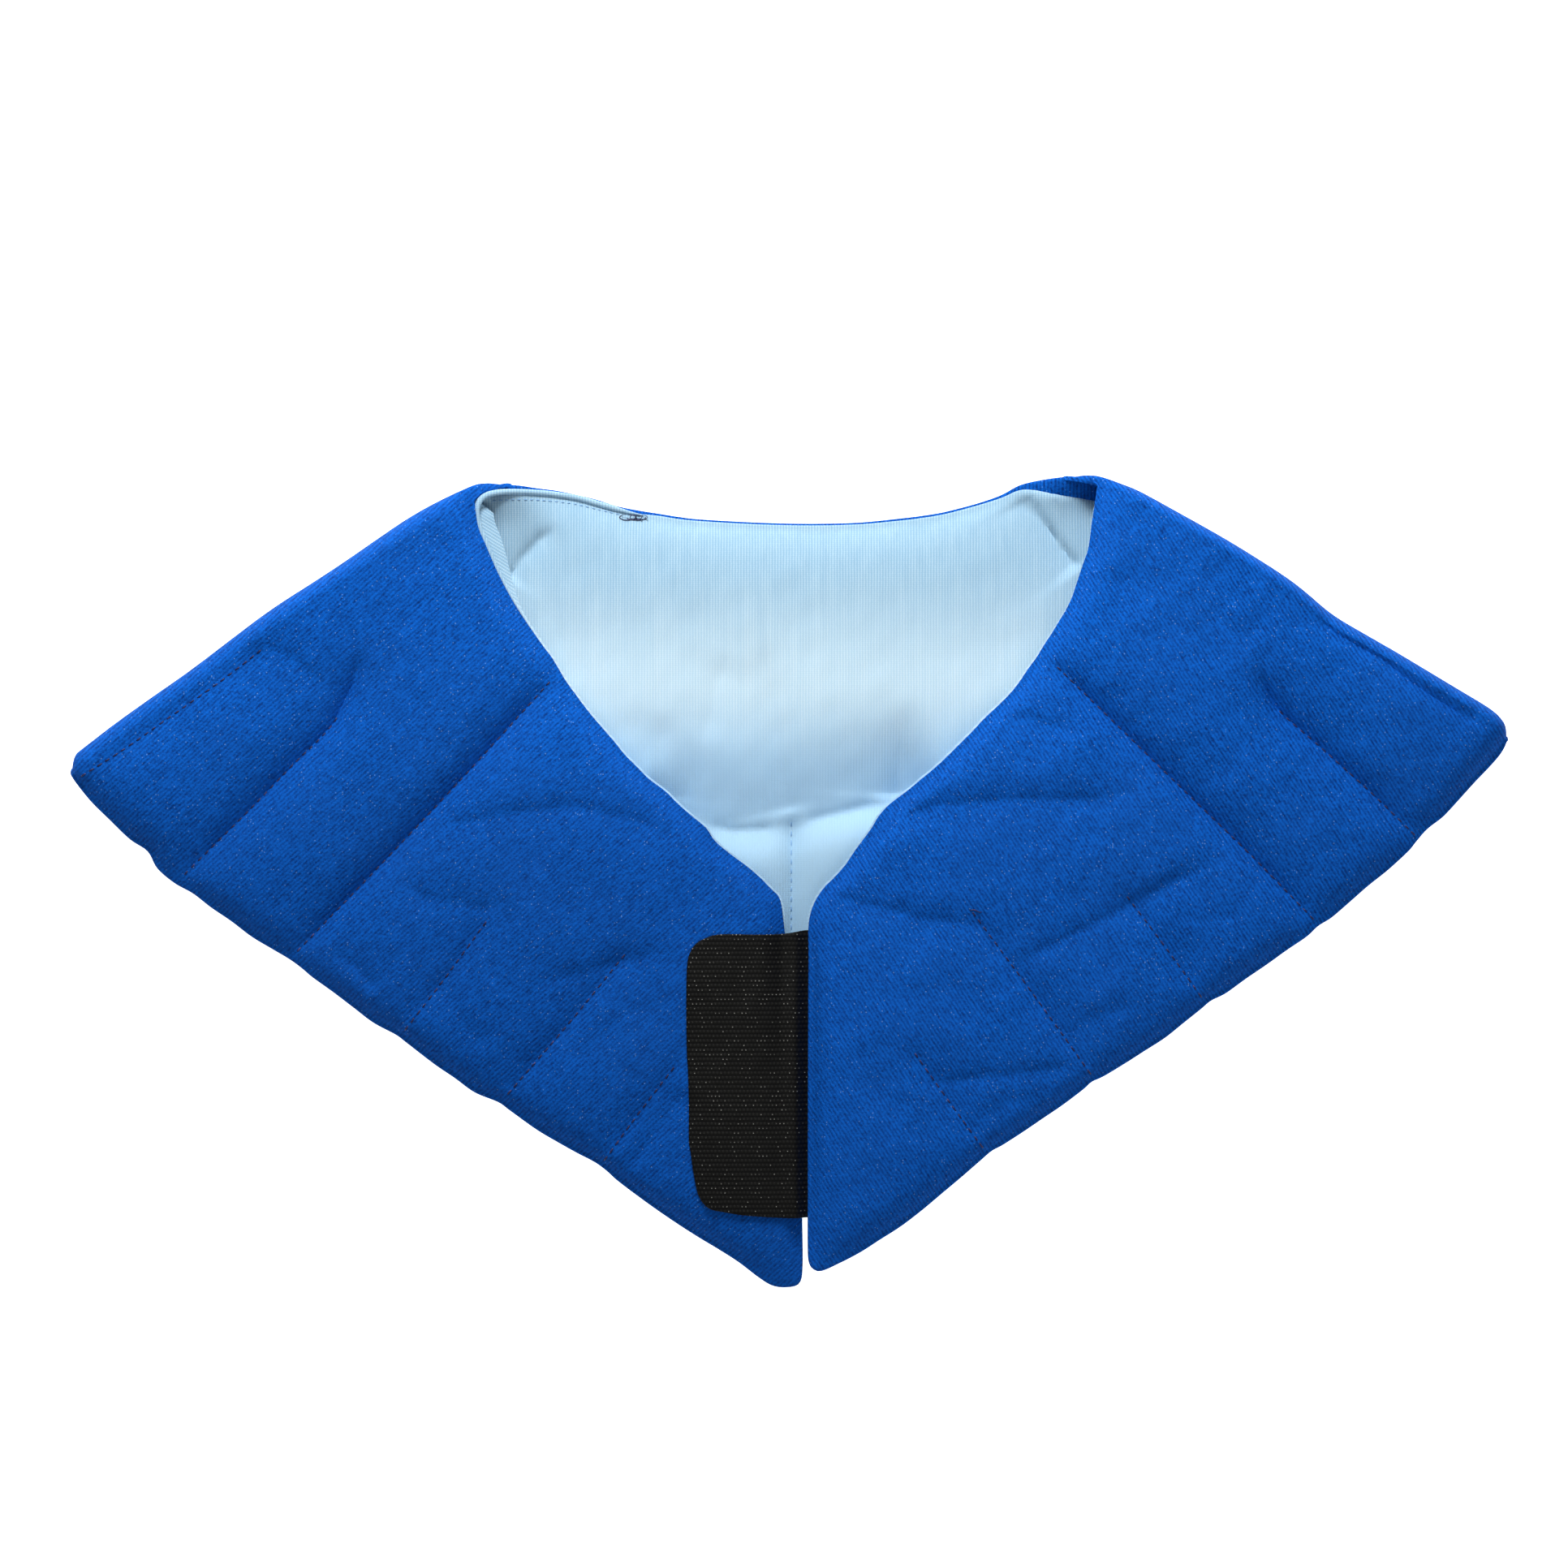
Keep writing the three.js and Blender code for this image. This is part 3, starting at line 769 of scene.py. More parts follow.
def thread_material():
    g = Graph("navy_thread")
    n = g.noise(0.35, 2)
    big = g.noise(2.0, 1)
    col = g.mix(g.ramp(n, 0.35, 0.7), linear((8, 12, 58)), linear((28, 32, 96)))
    # painted highlight: pale purple patches stand in for glints on the thread
    col = g.mix(g.math("MULTIPLY", g.ramp(big, 0.58, 0.72), 0.45), col, linear((92, 84, 150)))
    g.to("Base Color", col)
    g.to("Roughness", g.math("ADD", 0.35, g.math("MULTIPLY", n, 0.3)))
    g.to("Normal", g.bump(n, 0.00005, 0.5))
    return g.mat


def tape_material():
    """Black hook tape: rows of tiny hooks on a woven ground, with pale glints where a hook catches the light."""
    g = Graph("black_hook_tape")
    s = g.split(g.coord)
    row = g.math("MULTIPLY", s[1], 1000 / 1.7)
    index = g.math("FLOOR", row)
    shift = g.math("MULTIPLY", g.math("MODULO", index, 2.0), 0.5)
    col_pos = g.math("ADD", g.math("MULTIPLY", s[0], 1000 / 1.4), shift)
    rowfrac = g.math("ABSOLUTE", g.math("SUBTRACT", g.math("FRACT", row), 0.5))
    colfrac = g.math("ABSOLUTE", g.math("SUBTRACT", g.math("FRACT", col_pos), 0.5))
    band = g.ramp(rowfrac, 0.42, 0.12)
    dots = g.math("MULTIPLY", band, g.math("ADD", 0.35, g.math("MULTIPLY", g.ramp(colfrac, 0.34, 0.18), 0.65)))
    fine = g.noise(0.45, 2, 0.6)
    wide = g.noise(16, 2)
    cell = g.node("ShaderNodeCombineXYZ", X=g.math("FLOOR", col_pos), Y=index, Z=0.0).outputs[0]
    rnd = g.node("ShaderNodeTexWhiteNoise", Vector=cell).outputs["Value"]
    lone = g.ramp(rnd, 0.62, 1.05)
    spot = g.math("MULTIPLY", g.ramp(colfrac, 0.16, 0.06), g.ramp(rowfrac, 0.12, 0.05))
    glint = g.math("MULTIPLY", spot, lone)
    base = g.mix(dots, linear((5, 5, 5)), linear((30, 30, 28)))
    base = g.mix(g.math("MULTIPLY", wide, 0.35), base, linear((12, 12, 11)))
    base = g.mix(glint, base, linear((150, 150, 144)))
    g.to("Base Color", base)
    g.to("Roughness", g.math("ADD", 0.5, g.math("MULTIPLY", fine, 0.3)))
    g.to("Specular IOR Level", 0.12)
    h = g.math("ADD", g.math("MULTIPLY", dots, 0.9), g.math("MULTIPLY", fine, 0.4))
    g.to("Normal", g.bump(h, 0.00030, 0.7))
    return g.mat


# painted light and shade: the left copy is darker (0.97) and the right lighter (1.03), and the bands darken each
# towards the bottom
cloth_left = cloth_material("brushed_cloth_left", 43, 0.97, ((62.0, 12.0, 0.20),))
cloth_right = cloth_material("brushed_cloth_right", -57, 1.03, ((88.0, 24.0, 0.13),))
cloth_back = cloth_material("brushed_cloth_back", 90)
lining_back = lining_material("knit_lining_back", 0.0)
lining_left = lining_material("knit_lining_left", 58)
lining_right = lining_material("knit_lining_right", -58)
thread = thread_material()
tape_mat = tape_material()


# ------------------------------------------------------------------ the pads
def half_heights(points):
    """Half height of the fold at each of its stations: low at the two ends, full between them."""
    d = np.concatenate([[0], np.cumsum(np.linalg.norm(np.diff(points, axis=0), axis=1))])
    e = np.minimum(d, d[-1] - d)
    return R_END + (R_MID - R_END) * smoothstep(e / 16.0)


def pad(name, loop, outs, seams, fine, spacings, surfaces, material, rows=6):
    """A closed piece: an upper and a lower surface over one set of triangles, joined by a rounded rim.
    surfaces(verts, faces, order) gives the heights above and below and the rim's bulge at each boundary point."""
    verts, faces, order = triangulate(loop, seams, spacings[0], fine, spacings[1])
    z_top, z_low, bulge = surfaces(verts, faces, order)
    skin = Skin()
    top = skin.add(np.column_stack([verts, z_top]), verts)
    low = skin.add(np.column_stack([verts, z_low]), verts)
    for a, b, c in [f for f in faces if len(f) == 3]:
        skin.faces.append((top + a, top + b, top + c))
        skin.faces.append((low + a, low + c, low + b))
        skin.mats += [0, 0]
    n = len(order)
    previous = [top + v for v in order]
    ring_z = np.array([(z_top[v], z_low[v]) for v in order])
    at = verts[order]
    for k in range(1, rows):
        phi = math.pi / 2 - math.pi * k / rows
        mid = ring_z.mean(1)
        half = (ring_z[:, 0] - ring_z[:, 1]) / 2
        co = np.column_stack([at + bulge[:, :2] * math.cos(phi), mid + half * math.sin(phi) + bulge[:, 2] * math.cos(phi)])
        first = skin.add(co, at)
        ring = [first + i for i in range(n)]
        skin.strip(previous, ring, 0, closed=True)
        previous = ring
    skin.strip(previous, [low + v for v in order], 0, closed=True)
    obj = skin.build(name, [material])
    return obj, verts, faces, z_top, z_low


def tube_strip(name, up, down, bulge_up, inner_up, inner_down, inner_bulge, cap_a, cap_b, rows, material):
    """A closed strip round a fold: outer rows from `up` to `down` bulging outward, inner rows back, rounded ends."""
    skin = Skin()
    m = len(up)

    def arc(a, b, bulge, k):
        phi = math.pi / 2 - math.pi * k / rows
        c, h = (a + b) / 2, (a - b) / 2
        return c + h * math.sin(phi) + bulge * math.cos(phi)

    outer, inner = [], []
    for k in range(rows + 1):
        o = arc(up, down, bulge_up, k)
        i = arc(inner_up, inner_down, inner_bulge, k)
        fo = skin.add(o, o[:, :2])
        fi = skin.add(i, i[:, :2])
        outer.append([fo + j for j in range(m)])
        inner.append([fi + j for j in range(m)])
    for k in range(rows):
        skin.strip(outer[k], outer[k + 1], 0)
        skin.strip(inner[k], inner[k + 1], 0)
    skin.strip(outer[0], inner[0], 0)
    skin.strip(outer[rows], inner[rows], 0)
    for j, cap in ((0, cap_a), (m - 1, cap_b)):
        line_o = [outer[k][j] for k in range(rows + 1)]
        line_i = [inner[k][j] for k in range(rows + 1)]
        previous = line_o
        steps = 5
        for q in range(1, steps):
            psi = math.pi / 2 - math.pi * q / steps
            pts = []
            for k in range(rows + 1):
                a, b = np.array(skin.co[line_o[k]]), np.array(skin.co[line_i[k]])
                edge = min(k, rows - k) / rows * 2
                mix = 1.0 - k / rows
                vec = cap[0] * mix + cap[1] * (1 - mix)
                pts.append((a + b) / 2 + (a - b) / 2 * math.sin(psi) + np.array([vec[0], vec[1], 0]) * math.cos(psi))
            first = skin.add(np.array(pts), np.array(pts)[:, :2])
            row = [first + k for k in range(rows + 1)]
            skin.strip(previous, row, 0)
            # close the two short sides of the cap
            skin.faces.append((previous[0], row[0], inner[0][j])) if False else None
            previous = row
        skin.strip(previous, line_i, 0)
        side = [line_o, previous]
        first_row = [line_o[0]] + [None]
        # fans at both rows' ends
        cols0, cols1 = [line_o[0]], [line_o[-1]]
        base = len(skin.co)
        for q in range(1, steps):
            start = base - (steps - q) * (rows + 1)
            cols0.append(start)
            cols1.append(start + rows)
        cols0.append(line_i[0])
        cols1.append(line_i[-1])
        skin.faces.append(tuple(cols0))
        skin.mats.append(0)
        skin.faces.append(tuple(cols1))
        skin.mats.append(0)
    return skin.build(name, [material], loose=1e-7)


H_FRONT = 13.9
REACH = 27.0
H_BACK = 12.2
centre_left = arr([(-90, 10)])[0]
centre_right = arr([(90, 12)])[0]
centre_back = arr([(0, 30)])[0]


def bands(xy, side):
    """Wrinkles and hollows of a front's outer cloth, in mm."""
    w = np.zeros(len(xy))
    if side == "left":
        w += valley(xy, arr([(-141.15, 15), (-123.15, 21), (-99.15, 25.8), (-77.25, 27.6), (-54.15, 22.2), (-30.15, 10.2)]), 2.0, 4.6, 13, 0.25, 0.25)
        w += valley(xy, arr([(-195.75, 87), (-185.55, 84), (-175.65, 77.4), (-170.55, 67.8)]), 1.2, 4, 9, 0.2, 0.3)
        w += valley(xy, arr([(-150.15, 7.2), (-135.15, -5.7), (-111.15, -10.2), (-96.15, -4.2)]), 1.6, 6, 9, 0.3, 0.3)
        w += valley(xy, arr([(-171.15, -23.7), (-159.15, -31.2), (-150.15, -41.7)]), 1.9, 5, 7, 0.3, 0.2)
        w += valley(xy, arr([(-135.15, -35.7), (-123.15, -44.7), (-111.15, -64.2)]), 1.1, 6, 6, 0.3, 0.2)
        w += valley(xy, arr([(-99.15, -38.7), (-84.15, -35.7), (-63.15, -29.7), (-39.15, -25.2)]), 1.8, 5, 10, 0.3, 0.3)
        w += valley(xy, arr([(-84.15, -73.2), (-60.15, -49.2), (-38.55, -41.7)]), 1.0, 6, 8, 0.3, 0.3)
        w += valley(xy, arr([(-61.95, -109.2), (-51.15, -95.7), (-36.15, -74.7)]), 1.8, 5, 8, 0.2, 0.2)
        w += valley(xy, arr([(-111.15, 118.8), (-99.15, 97.8), (-90.75, 85.8)]), 1.0, 6, 10, 0.3, 0.3)
        w += valley(xy, arr([(-123.15, 130.8), (-135.15, 118.8), (-143.55, 106.8)]), 0.9, 7, 9, 0.3, 0.4)
        w += valley(xy, arr([(-27.15, 7.8), (-19.65, -5.7), (-15.15, -17.7)]), 0.8, 6, 7, 0.3, 0.2)
        w += roll(xy, arr([(-19.65, -73.2), (-15.75, -100.2), (-7.65, -121.2)]), 0.0, 8)
        w += 0.55 * noise(xy, 34, 3) + 0.28 * noise(xy, 13, 4)
    else:
        w += valley(xy, arr([(36.45, 22.8), (56.85, 28.2), (83.85, 30.3), (113.85, 30.3), (140.85, 35.4)]), 3.0, 5.2, 14, 0.15, 0.3)
        w += valley(xy, arr([(10.35, -3), (26.85, -7.8), (47.85, -13.2), (78.45, -16.8)]), 2.5, 5.2, 13, 0.15, 0.3)
        w += valley(xy, arr([(79.35, -33), (98.85, -22.8), (128.85, -7.2), (146.85, 2.4), (166.35, 11.4)]), 2.3, 5.0, 11, 0.25, 0.25)
        w += valley(xy, arr([(44.85, -75.6), (62.85, -73.2), (86.85, -70.8), (112.35, -67.2)]), 2.0, 4.6, 10, 0.25, 0.2)
        w += valley(xy, arr([(73.35, 63), (89.85, 60), (109.35, 53.7)]), 1.9, 4.4, 10, 0.25, 0.3)
        w += valley(xy, arr([(26.85, -67.2), (34.35, -77.7), (47.85, -85.8)]), 1.1, 5, 8, 0.3, 0.3)
        w += valley(xy, arr([(53.85, -28.2), (65.85, -46.2), (70.35, -61.2)]), 1.0, 6, 7, 0.3, 0.3)
        w += valley(xy, arr([(95.85, -61.2), (110.85, -50.7), (134.85, -44.7)]), 0.9, 5, 8, 0.3, 0.3)
        w += valley(xy, arr([(140.85, -10.2), (151.35, -14.7), (170.85, -12.6)]), 1.0, 5, 7, 0.3, 0.2)
        w += valley(xy, arr([(68.85, -91.2), (79.35, -82.2), (95.85, -79.8)]), 0.9, 5, 7, 0.3, 0.2)
        w += valley(xy, arr([(127.35, 118.8), (120.45, 97.8), (117.45, 85.8)]), 0.8, 8, 9, 0.3, 0.4)
        w += valley(xy, arr([(152.85, 103.2), (164.85, 93.3), (173.25, 85.8)]), 1.0, 6, 8, 0.3, 0.2)
        w += valley(xy, arr([(9.75, -19.2), (17.85, -31.2), (22.35, -46.2)]), 0.9, 6, 8, 0.2, 0.4)
        w += valley(xy, arr(RIGHT_SEAMS[0][0]), 3.0, 2.4, 3.8, 0.24, 0.14, 1.2)
        w += 0.55 * noise(xy, 34, 13) + 0.28 * noise(xy, 13, 14)
    return w


def filling(xy, side):
    """How full the channels are: 1 is the usual fill."""
    f = np.ones(len(xy))
    f += 0.10 * noise(xy, 48, 21 if side == "left" else 22)
    return f


made = {}


def build_front(side):
    fold = left_fold if side == "left" else right_fold
    edge = left_edge if side == "left" else right_edge
    centre = centre_left if side == "left" else centre_right
    seams = LEFT_SEAMS if side == "left" else RIGHT_SEAMS
    cloth = cloth_left if side == "left" else cloth_right
    lin = lining_left if side == "left" else lining_right
    loop, outs, kinds, ranges = loop_of([("fold", fold, FOLD_WIDTH[side]), ("edge", edge, RIM)], centre)
    n = len(loop)
    f0, f1 = ranges[0]
    fold_ids = [i % n for i in range(f0, f1)]
    fold_pts = loop[fold_ids]
    rz = half_heights(fold_pts)
    e0, e1 = ranges[1]
    # the corner at the neck is the fold's first station; it takes the rim of the edge that ends there
    unit_last = outs[(e1 - 2) % n] / RIM
    outs = outs.copy()
    outs[f0] = unit_last * RIM
    hem_unit = outs[e0] / RIM
    outline = np.vstack([loop, loop[:1]])

    def cover_surfaces(verts, faces, order):
        ev = np.zeros(n)
        held = np.ones(n, bool)
        held[fold_ids[1:-1]] = False
        lines = [(s[0], s[1], s[2], s[3]) for s in seams]
        u = puff(verts, faces, n, order, held, ev, lines, filling(verts, side), REACH)
        d, _, _ = line_distance(verts, outline)
        sewn, _, _ = line_distance(verts, loop[[i % n for i in range(e0, e1)]])
        h = EDGE + (H_FRONT - EDGE) * (1 - np.exp(-u / (SOFT - 0.06 * (1 - smoothstep(sewn / 20)))))
        w = bands(verts, side) * smoothstep(sewn / 9.0) * smoothstep((shape(u) - 0.05) / 0.55)
        z = FRONT_BASE + np.maximum(h + w, EDGE * 0.9)
        z = np.where(z > FRONT_TOP - 1.0, FRONT_TOP - 1.0 + np.tanh(z - FRONT_TOP + 1.0) * 0.8, z)
        low = FRONT_BASE + 1.0 + 0.9 * smoothstep((d - 0.5) / 4)
        bulge = np.column_stack([outs, np.zeros(n)])
        made["fold_z"] = np.array([z[order[i]] for i in fold_ids])
        return z, low, bulge

    seam_lines = [(arr(s[0]), (0, -1.2, 1.2)) for s in seams]
    cover, verts, faces, z_top, _ = pad(f"front_{side}_cover", loop, outs, seam_lines, None, (FINE, None), cover_surfaces, cloth)
    fold_z = made.pop("fold_z")

    peek = np.full(n, -0.5)
    drop = np.zeros(n)
    for i in range(n):
        x, y = loop[i]
        on_neck = kinds[i] == 1 and y > -17.0
        if on_neck:
            # only the inner edge, not the hem
            inner_side = (x > -118 and y > -17 and side == "left") or (x < 118 and side == "right")
            hem = side == "left" and x < -118 or side == "right" and x > 118
            if inner_side and not hem and (y > 0 or abs(x) < 30):
                peek[i] = 0.75
                if side == "left":
                    wide = np.interp(y, [85, 98, 105, 115, 125, 138, 141.5], [0.75, 1.2, 2.6, 5.2, 6.6, 6.6, 4.5])
                    peek[i] = wide
                    drop[i] = max(0.0, (wide - 0.75) * 0.48)
                else:
                    peek[i] = np.interp(y, [60, 80, 100, 138], [0.75, 0.55, 0.35, 0.2])
    k = np.ones(5) / 5
    ring = np.concatenate([peek[-2:], peek, peek[:2]])
    peek = np.convolve(ring, k, "valid")

    def lining_surfaces(verts, faces, order):
        d, _, _ = line_distance(verts, outline)
        low = np.full(len(verts), FRONT_BASE)
        for s in seams[1:]:
            low += -valley(verts, arr(s[0]), 1.1, 3.5, 3.5, 0.0, 0.15, 1.3) * smoothstep(d / 5)
        top = low + 1.0
        low = low
        unit = outs / RIM
        for i in fold_ids[1:-1]:
            unit[i] = 0
        bulge = np.column_stack([unit * (RIM + peek)[:, None], -drop])
        for i in fold_ids[1:-1]:
            bulge[i] = 0
        return top, low, bulge

    lining, *_ = pad(f"front_{side}_lining_cloth", loop, outs, [(arr(s[0]), (0, -1.8, 1.8)) for s in seams[1:]], None, (COARSE, None), lining_surfaces, lin, rows=5)
    made[side] = dict(
        cover=cover, lining=lining, fold=fold_pts, fold_z=fold_z, rz=rz, neck=unit_last * RIM, hem=hem_unit * RIM, verts=verts, faces=faces, z=z_top, outline=outline
    )


def back_loop(neck, rim):
    parts = [("edge", neck, rim), ("fold", right_fold, FOLD_WIDTH["right"]), ("edge", back_hem, rim), ("fold", left_fold[::-1], FOLD_WIDTH["left"])]
    loop, outs, kinds, ranges = loop_of(parts, centre_back)
    n = len(loop)
    outs = outs.copy()
    for part in (1, 3):
        first = ranges[part][0] % n
        outs[first] = outs[(first - 1) % n]
    right_ids = [i % n for i in range(*ranges[1])]
    left_ids = [i % n for i in range(*ranges[3])][::-1]
    return loop, outs, kinds, ranges, left_ids, right_ids


def lift(verts, left_pts, right_pts):
    """How high the back's lower face stands: on the floor, and up to the folds at both shoulders."""
    z = np.full(len(verts), 0.25)
    for pts in (left_pts, right_pts):
        rz = half_heights(pts)
        d, _, along = line_distance(verts, pts)
        s = np.concatenate([[0], np.cumsum(np.linalg.norm(np.diff(pts, axis=0), axis=1))])
        r = np.interp(along * s[-1], s, rz)
        z = np.maximum(z, 0.25 + (AXIS_Z - r - 0.25) * np.exp(-((d / 11.0) ** 1.4)))
    return z


def build_back():
    loop, outs, kinds, ranges, left_ids, right_ids = back_loop(back_neck, RIM)
    n = len(loop)
    lp, rp = loop[left_ids], loop[right_ids]

    def cover_surfaces(verts, faces, order):
        low = lift(verts, lp, rp)
        outline = np.vstack([loop, loop[:1]])
        d, _, _ = line_distance(verts, outline)
        for s in BACK_SEAMS:
            low += -valley(verts, arr(s[0]), 0.9, 3.5, 3.5, 0.0, 0.15, 1.3) * smoothstep(d / 5)
        for ids, pts in ((left_ids, lp), (right_ids, rp)):
            for i, r in zip(ids, half_heights(pts)):
                low[order[i]] = AXIS_Z - r
        top = low + 1.9
        unit = outs / RIM
        bulge = np.column_stack([unit * RIM, np.zeros(n)])
        for ids in (left_ids, right_ids):
            for i in ids[1:-1]:
                bulge[i] = 0
        return top, low, bulge

    cover, *_ = pad("back_cover", loop, outs, [(arr(s[0]), (0, -1.8, 1.8)) for s in BACK_SEAMS], None, (COARSE, None), cover_surfaces, cloth_back, rows=5)

    lrim = 1.5
    loop2, outs2, kinds2, ranges2, left2, right2 = back_loop(lining_neck, lrim)
    m = len(loop2)
    lp2, rp2 = loop2[left2], loop2[right2]
    outline2 = np.vstack([loop2, loop2[:1]])

    def lining_surfaces(verts, faces, order):
        base = lift(verts, lp, rp)
        ev = np.zeros(m)
        for ids, pts in ((left2, lp2), (right2, rp2)):
            for i, r in zip(ids, half_heights(pts)):
                ev[i] = (BACK_TOP - (AXIS_Z - r) - EDGE) / (H_BACK - EDGE)
        fill = 0.16 + 0.88 * smoothstep((140 - verts[:, 1]) / 84) + 0.05 * noise(verts, 42, 31)
        u = puff(verts, faces, m, order, np.ones(m, bool), ev, [(s[0], s[1], s[2], s[3]) for s in BACK_SEAMS], fill, 22.0)
        d, _, _ = line_distance(verts, outline2)
        h = EDGE + (H_BACK - EDGE) * shape(u)
        w = valley(verts, arr([(-9.75, 97.2), (-7.35, 73.8), (-3.75, 46.8), (1.05, 24.3)]), 1.5, 5.0, 12, 0.35, 0.05)
        w += valley(verts, arr([(-45.75, 64.2), (-46.95, 51.3), (-49.35, 30.3)]), 1.3, 7, 9, 0.35, 0.05)
        w += valley(verts, arr([(43.65, 69), (41.85, 49.8), (40.65, 30.3)]), 1.6, 10, 10, 0.62, 0.05)
        w += valley(verts, arr([
    (-57.15, 30.3), (-32.55, 21.6), (-19.65, 19.2), (1.35, 20.4), (19.35, 25.5), (35.85, 29.4),
    (62.85, 37.8)
]), 6.6, 20.0, 8, 0.15, 0.15, 1.8)
        w += valley(verts, arr([(-31.35, 20.7), (-19.65, 18.6), (-3.75, 19.5)]), 1.3, 2.6, 4.5, 0.25, 0.2)
        w += valley(verts, arr([(5.25, 22.2), (19.35, 25.5), (35.25, 29.1)]), 1.3, 2.6, 4.5, 0.2, 0.25)
        w += valley(verts, arr([(88.05, 144), (94.35, 133.8), (101.25, 124.2), (108.45, 115.2)]), 3.4, 1.7, 6.0, 0.06, 0.10)
        w += valley(verts, arr([(-103.95, 111), (-99.15, 118.8), (-91.95, 126.6), (-84.15, 132.6)]), 2.6, 2.6, 4.0, 0.10, 0.35)
        w += valley(verts, arr([(-21.15, 85.8), (-27.15, 70.8), (-30.75, 49.8)]), 0.9, 9, 9, 0.3, 0.3)
        w += 0.25 * noise(verts, 40, 33) + 0.08 * noise(verts, 15, 34)
        z = base + h + w * smoothstep(d / 4.5)
        top = BACK_TOP
        z = np.where(z > top - 1.0, top - 1.0 + np.tanh((z - top + 1.0) / 2.9) * 2.7, z)
        z = np.maximum(z, base + EDGE * 0.8)
        for ids, pts in ((left2, lp2), (right2, rp2)):
            for i in ids:
                z[order[i]] = BACK_TOP
        low = base + 1.9 + 0.3
        unit = outs2 / lrim
        bulge = np.column_stack([unit * lrim, np.full(m, -0.2)])
        for ids in (left2, right2):
            for i in ids[1:-1]:
                bulge[i] = 0
        return z, low, bulge

    def seen(q):
        return (q[:, 1] > -22) & (np.abs(q[:, 0]) < 122 + 0 * q[:, 0])

    lining, verts, faces, z_top, _ = pad(
        "back_lining_pad", loop2, outs2, [(arr(s[0]), (0, -1.2, 1.2)) for s in BACK_SEAMS], seen, (COARSE, FINE), lining_surfaces, lining_back
    )
    made["back"] = dict(cover=cover, lining=lining, left=lp, right=rp, left_lining=lp2, right_lining=rp2, verts=verts, faces=faces, z=z_top,
                        left_caps=(outs[left_ids[0]], outs[left_ids[-1]]), right_caps=(outs[right_ids[0]], outs[right_ids[-1]]))


def build_shoulder(side):
    f, b = made[side], made["back"]
    up = np.column_stack([f["fold"], f["fold_z"]])
    wide = FOLD_WIDTH[side]
    run = np.concatenate([[0], np.cumsum(np.linalg.norm(np.diff(f["fold"], axis=0), axis=1))])
    ends = np.minimum(run, run[-1] - run)
    reach = wide * (0.5 + 0.5 * np.sin(np.pi / 2 * np.clip(ends / 5.0, 0, 1)))
    low_pts = b[side]
    down = np.column_stack([low_pts, AXIS_Z - half_heights(low_pts)])
    fold = left_fold if side == "left" else right_fold
    centre = centre_left if side == "left" else centre_right
    nrm = outward((f["fold"] + low_pts) / 2, centre)
    n3 = np.column_stack([nrm, np.zeros(len(nrm))])
    wall = 1.9
    sink = np.array([0, 0, wall])
    cloth = cloth_left if side == "left" else cloth_right
    caps = b[f"{side}_caps"]
    cover = tube_strip(
        f"shoulder_{side}_cover", up, down, n3 * reach[:, None], up - sink, down + sink, n3 * (reach - wall * 0.8)[:, None], (f["neck"], caps[0]), (f["hem"], caps[1]), 22, cloth
    )
    lo2 = b[f"{side}_lining"]
    up2 = np.column_stack([f["fold"], np.full(len(lo2), FRONT_BASE)])
    down2 = np.column_stack([lo2, np.full(len(lo2), BACK_TOP)])
    nrm2 = outward((f["fold"] + lo2) / 2, centre)
    m3 = np.column_stack([nrm2, np.zeros(len(nrm2))])
    thick = np.array([0, 0, 0.8])
    lin = lining_left if side == "left" else lining_right
    lining = tube_strip(
        f"shoulder_{side}_lining", up2, down2, m3 * np.maximum(reach - 2.6, 0.3)[:, None], up2 + thick, down2 - thick, m3 * np.maximum(reach - 1.9, 0.9)[:, None], (f["neck"] * 0.8, caps[0] * 0.8), (f["hem"] * 0.6, caps[1] * 0.6), 14, lin
    )
    made[side]["shoulder"] = (cover, lining)


build_front("left")
build_front("right")
build_back()
build_shoulder("left")
build_shoulder("right")


# ------------------------------------------------------------------ stitching, tab and trims
from mathutils.bvhtree import BVHTree


def height_over(data):
    co = [(x, y, z) for (x, y), z in zip(data["verts"], data["z"])]
    tree = BVHTree.FromPolygons(co, [f for f in data["faces"] if len(f) == 3])

    def at(x, y, default=None):
        hit = tree.ray_cast(Vector((x, y, 60.0)), Vector((0, 0, -1)))
        return hit[0].z if hit[0] is not None else default

    return at


def thread_run(skin, points, radius, sides=7):
    """A closed, tapered length of thread along the points."""
    pts = np.array(points, float)
    t = np.gradient(pts, axis=0)
    t /= np.linalg.norm(t, axis=1)[:, None]
    rings = []
    n = len(pts)
    for i in range(n):
        side = np.cross(t[i], [0, 0, 1])
        side /= max(np.linalg.norm(side), 1e-9)
        up = np.cross(side, t[i])
        share = i / (n - 1)
        r = radius * (0.35 + 0.65 * math.sin(math.pi * min(max(share, 0.0), 1.0)) ** 0.45)
        ring = [pts[i] + r * (math.cos(a) * side + math.sin(a) * up) for a in np.linspace(0, math.tau, sides, endpoint=False)]
        first = skin.add(np.array(ring), np.array(ring)[:, :2])
        rings.append([first + k for k in range(sides)])
    for a, b in zip(rings[:-1], rings[1:]):
        skin.strip(a, b, 0, closed=True)
    for ring, tip in ((rings[0], pts[0] - t[0] * radius * 0.4), (rings[-1], pts[-1] + t[-1] * radius * 0.4)):
        c = skin.add([tip], [tip[:2]])
        for k in range(sides):
            skin.faces.append((ring[k], ring[(k + 1) % sides], c))
            skin.mats.append(0)


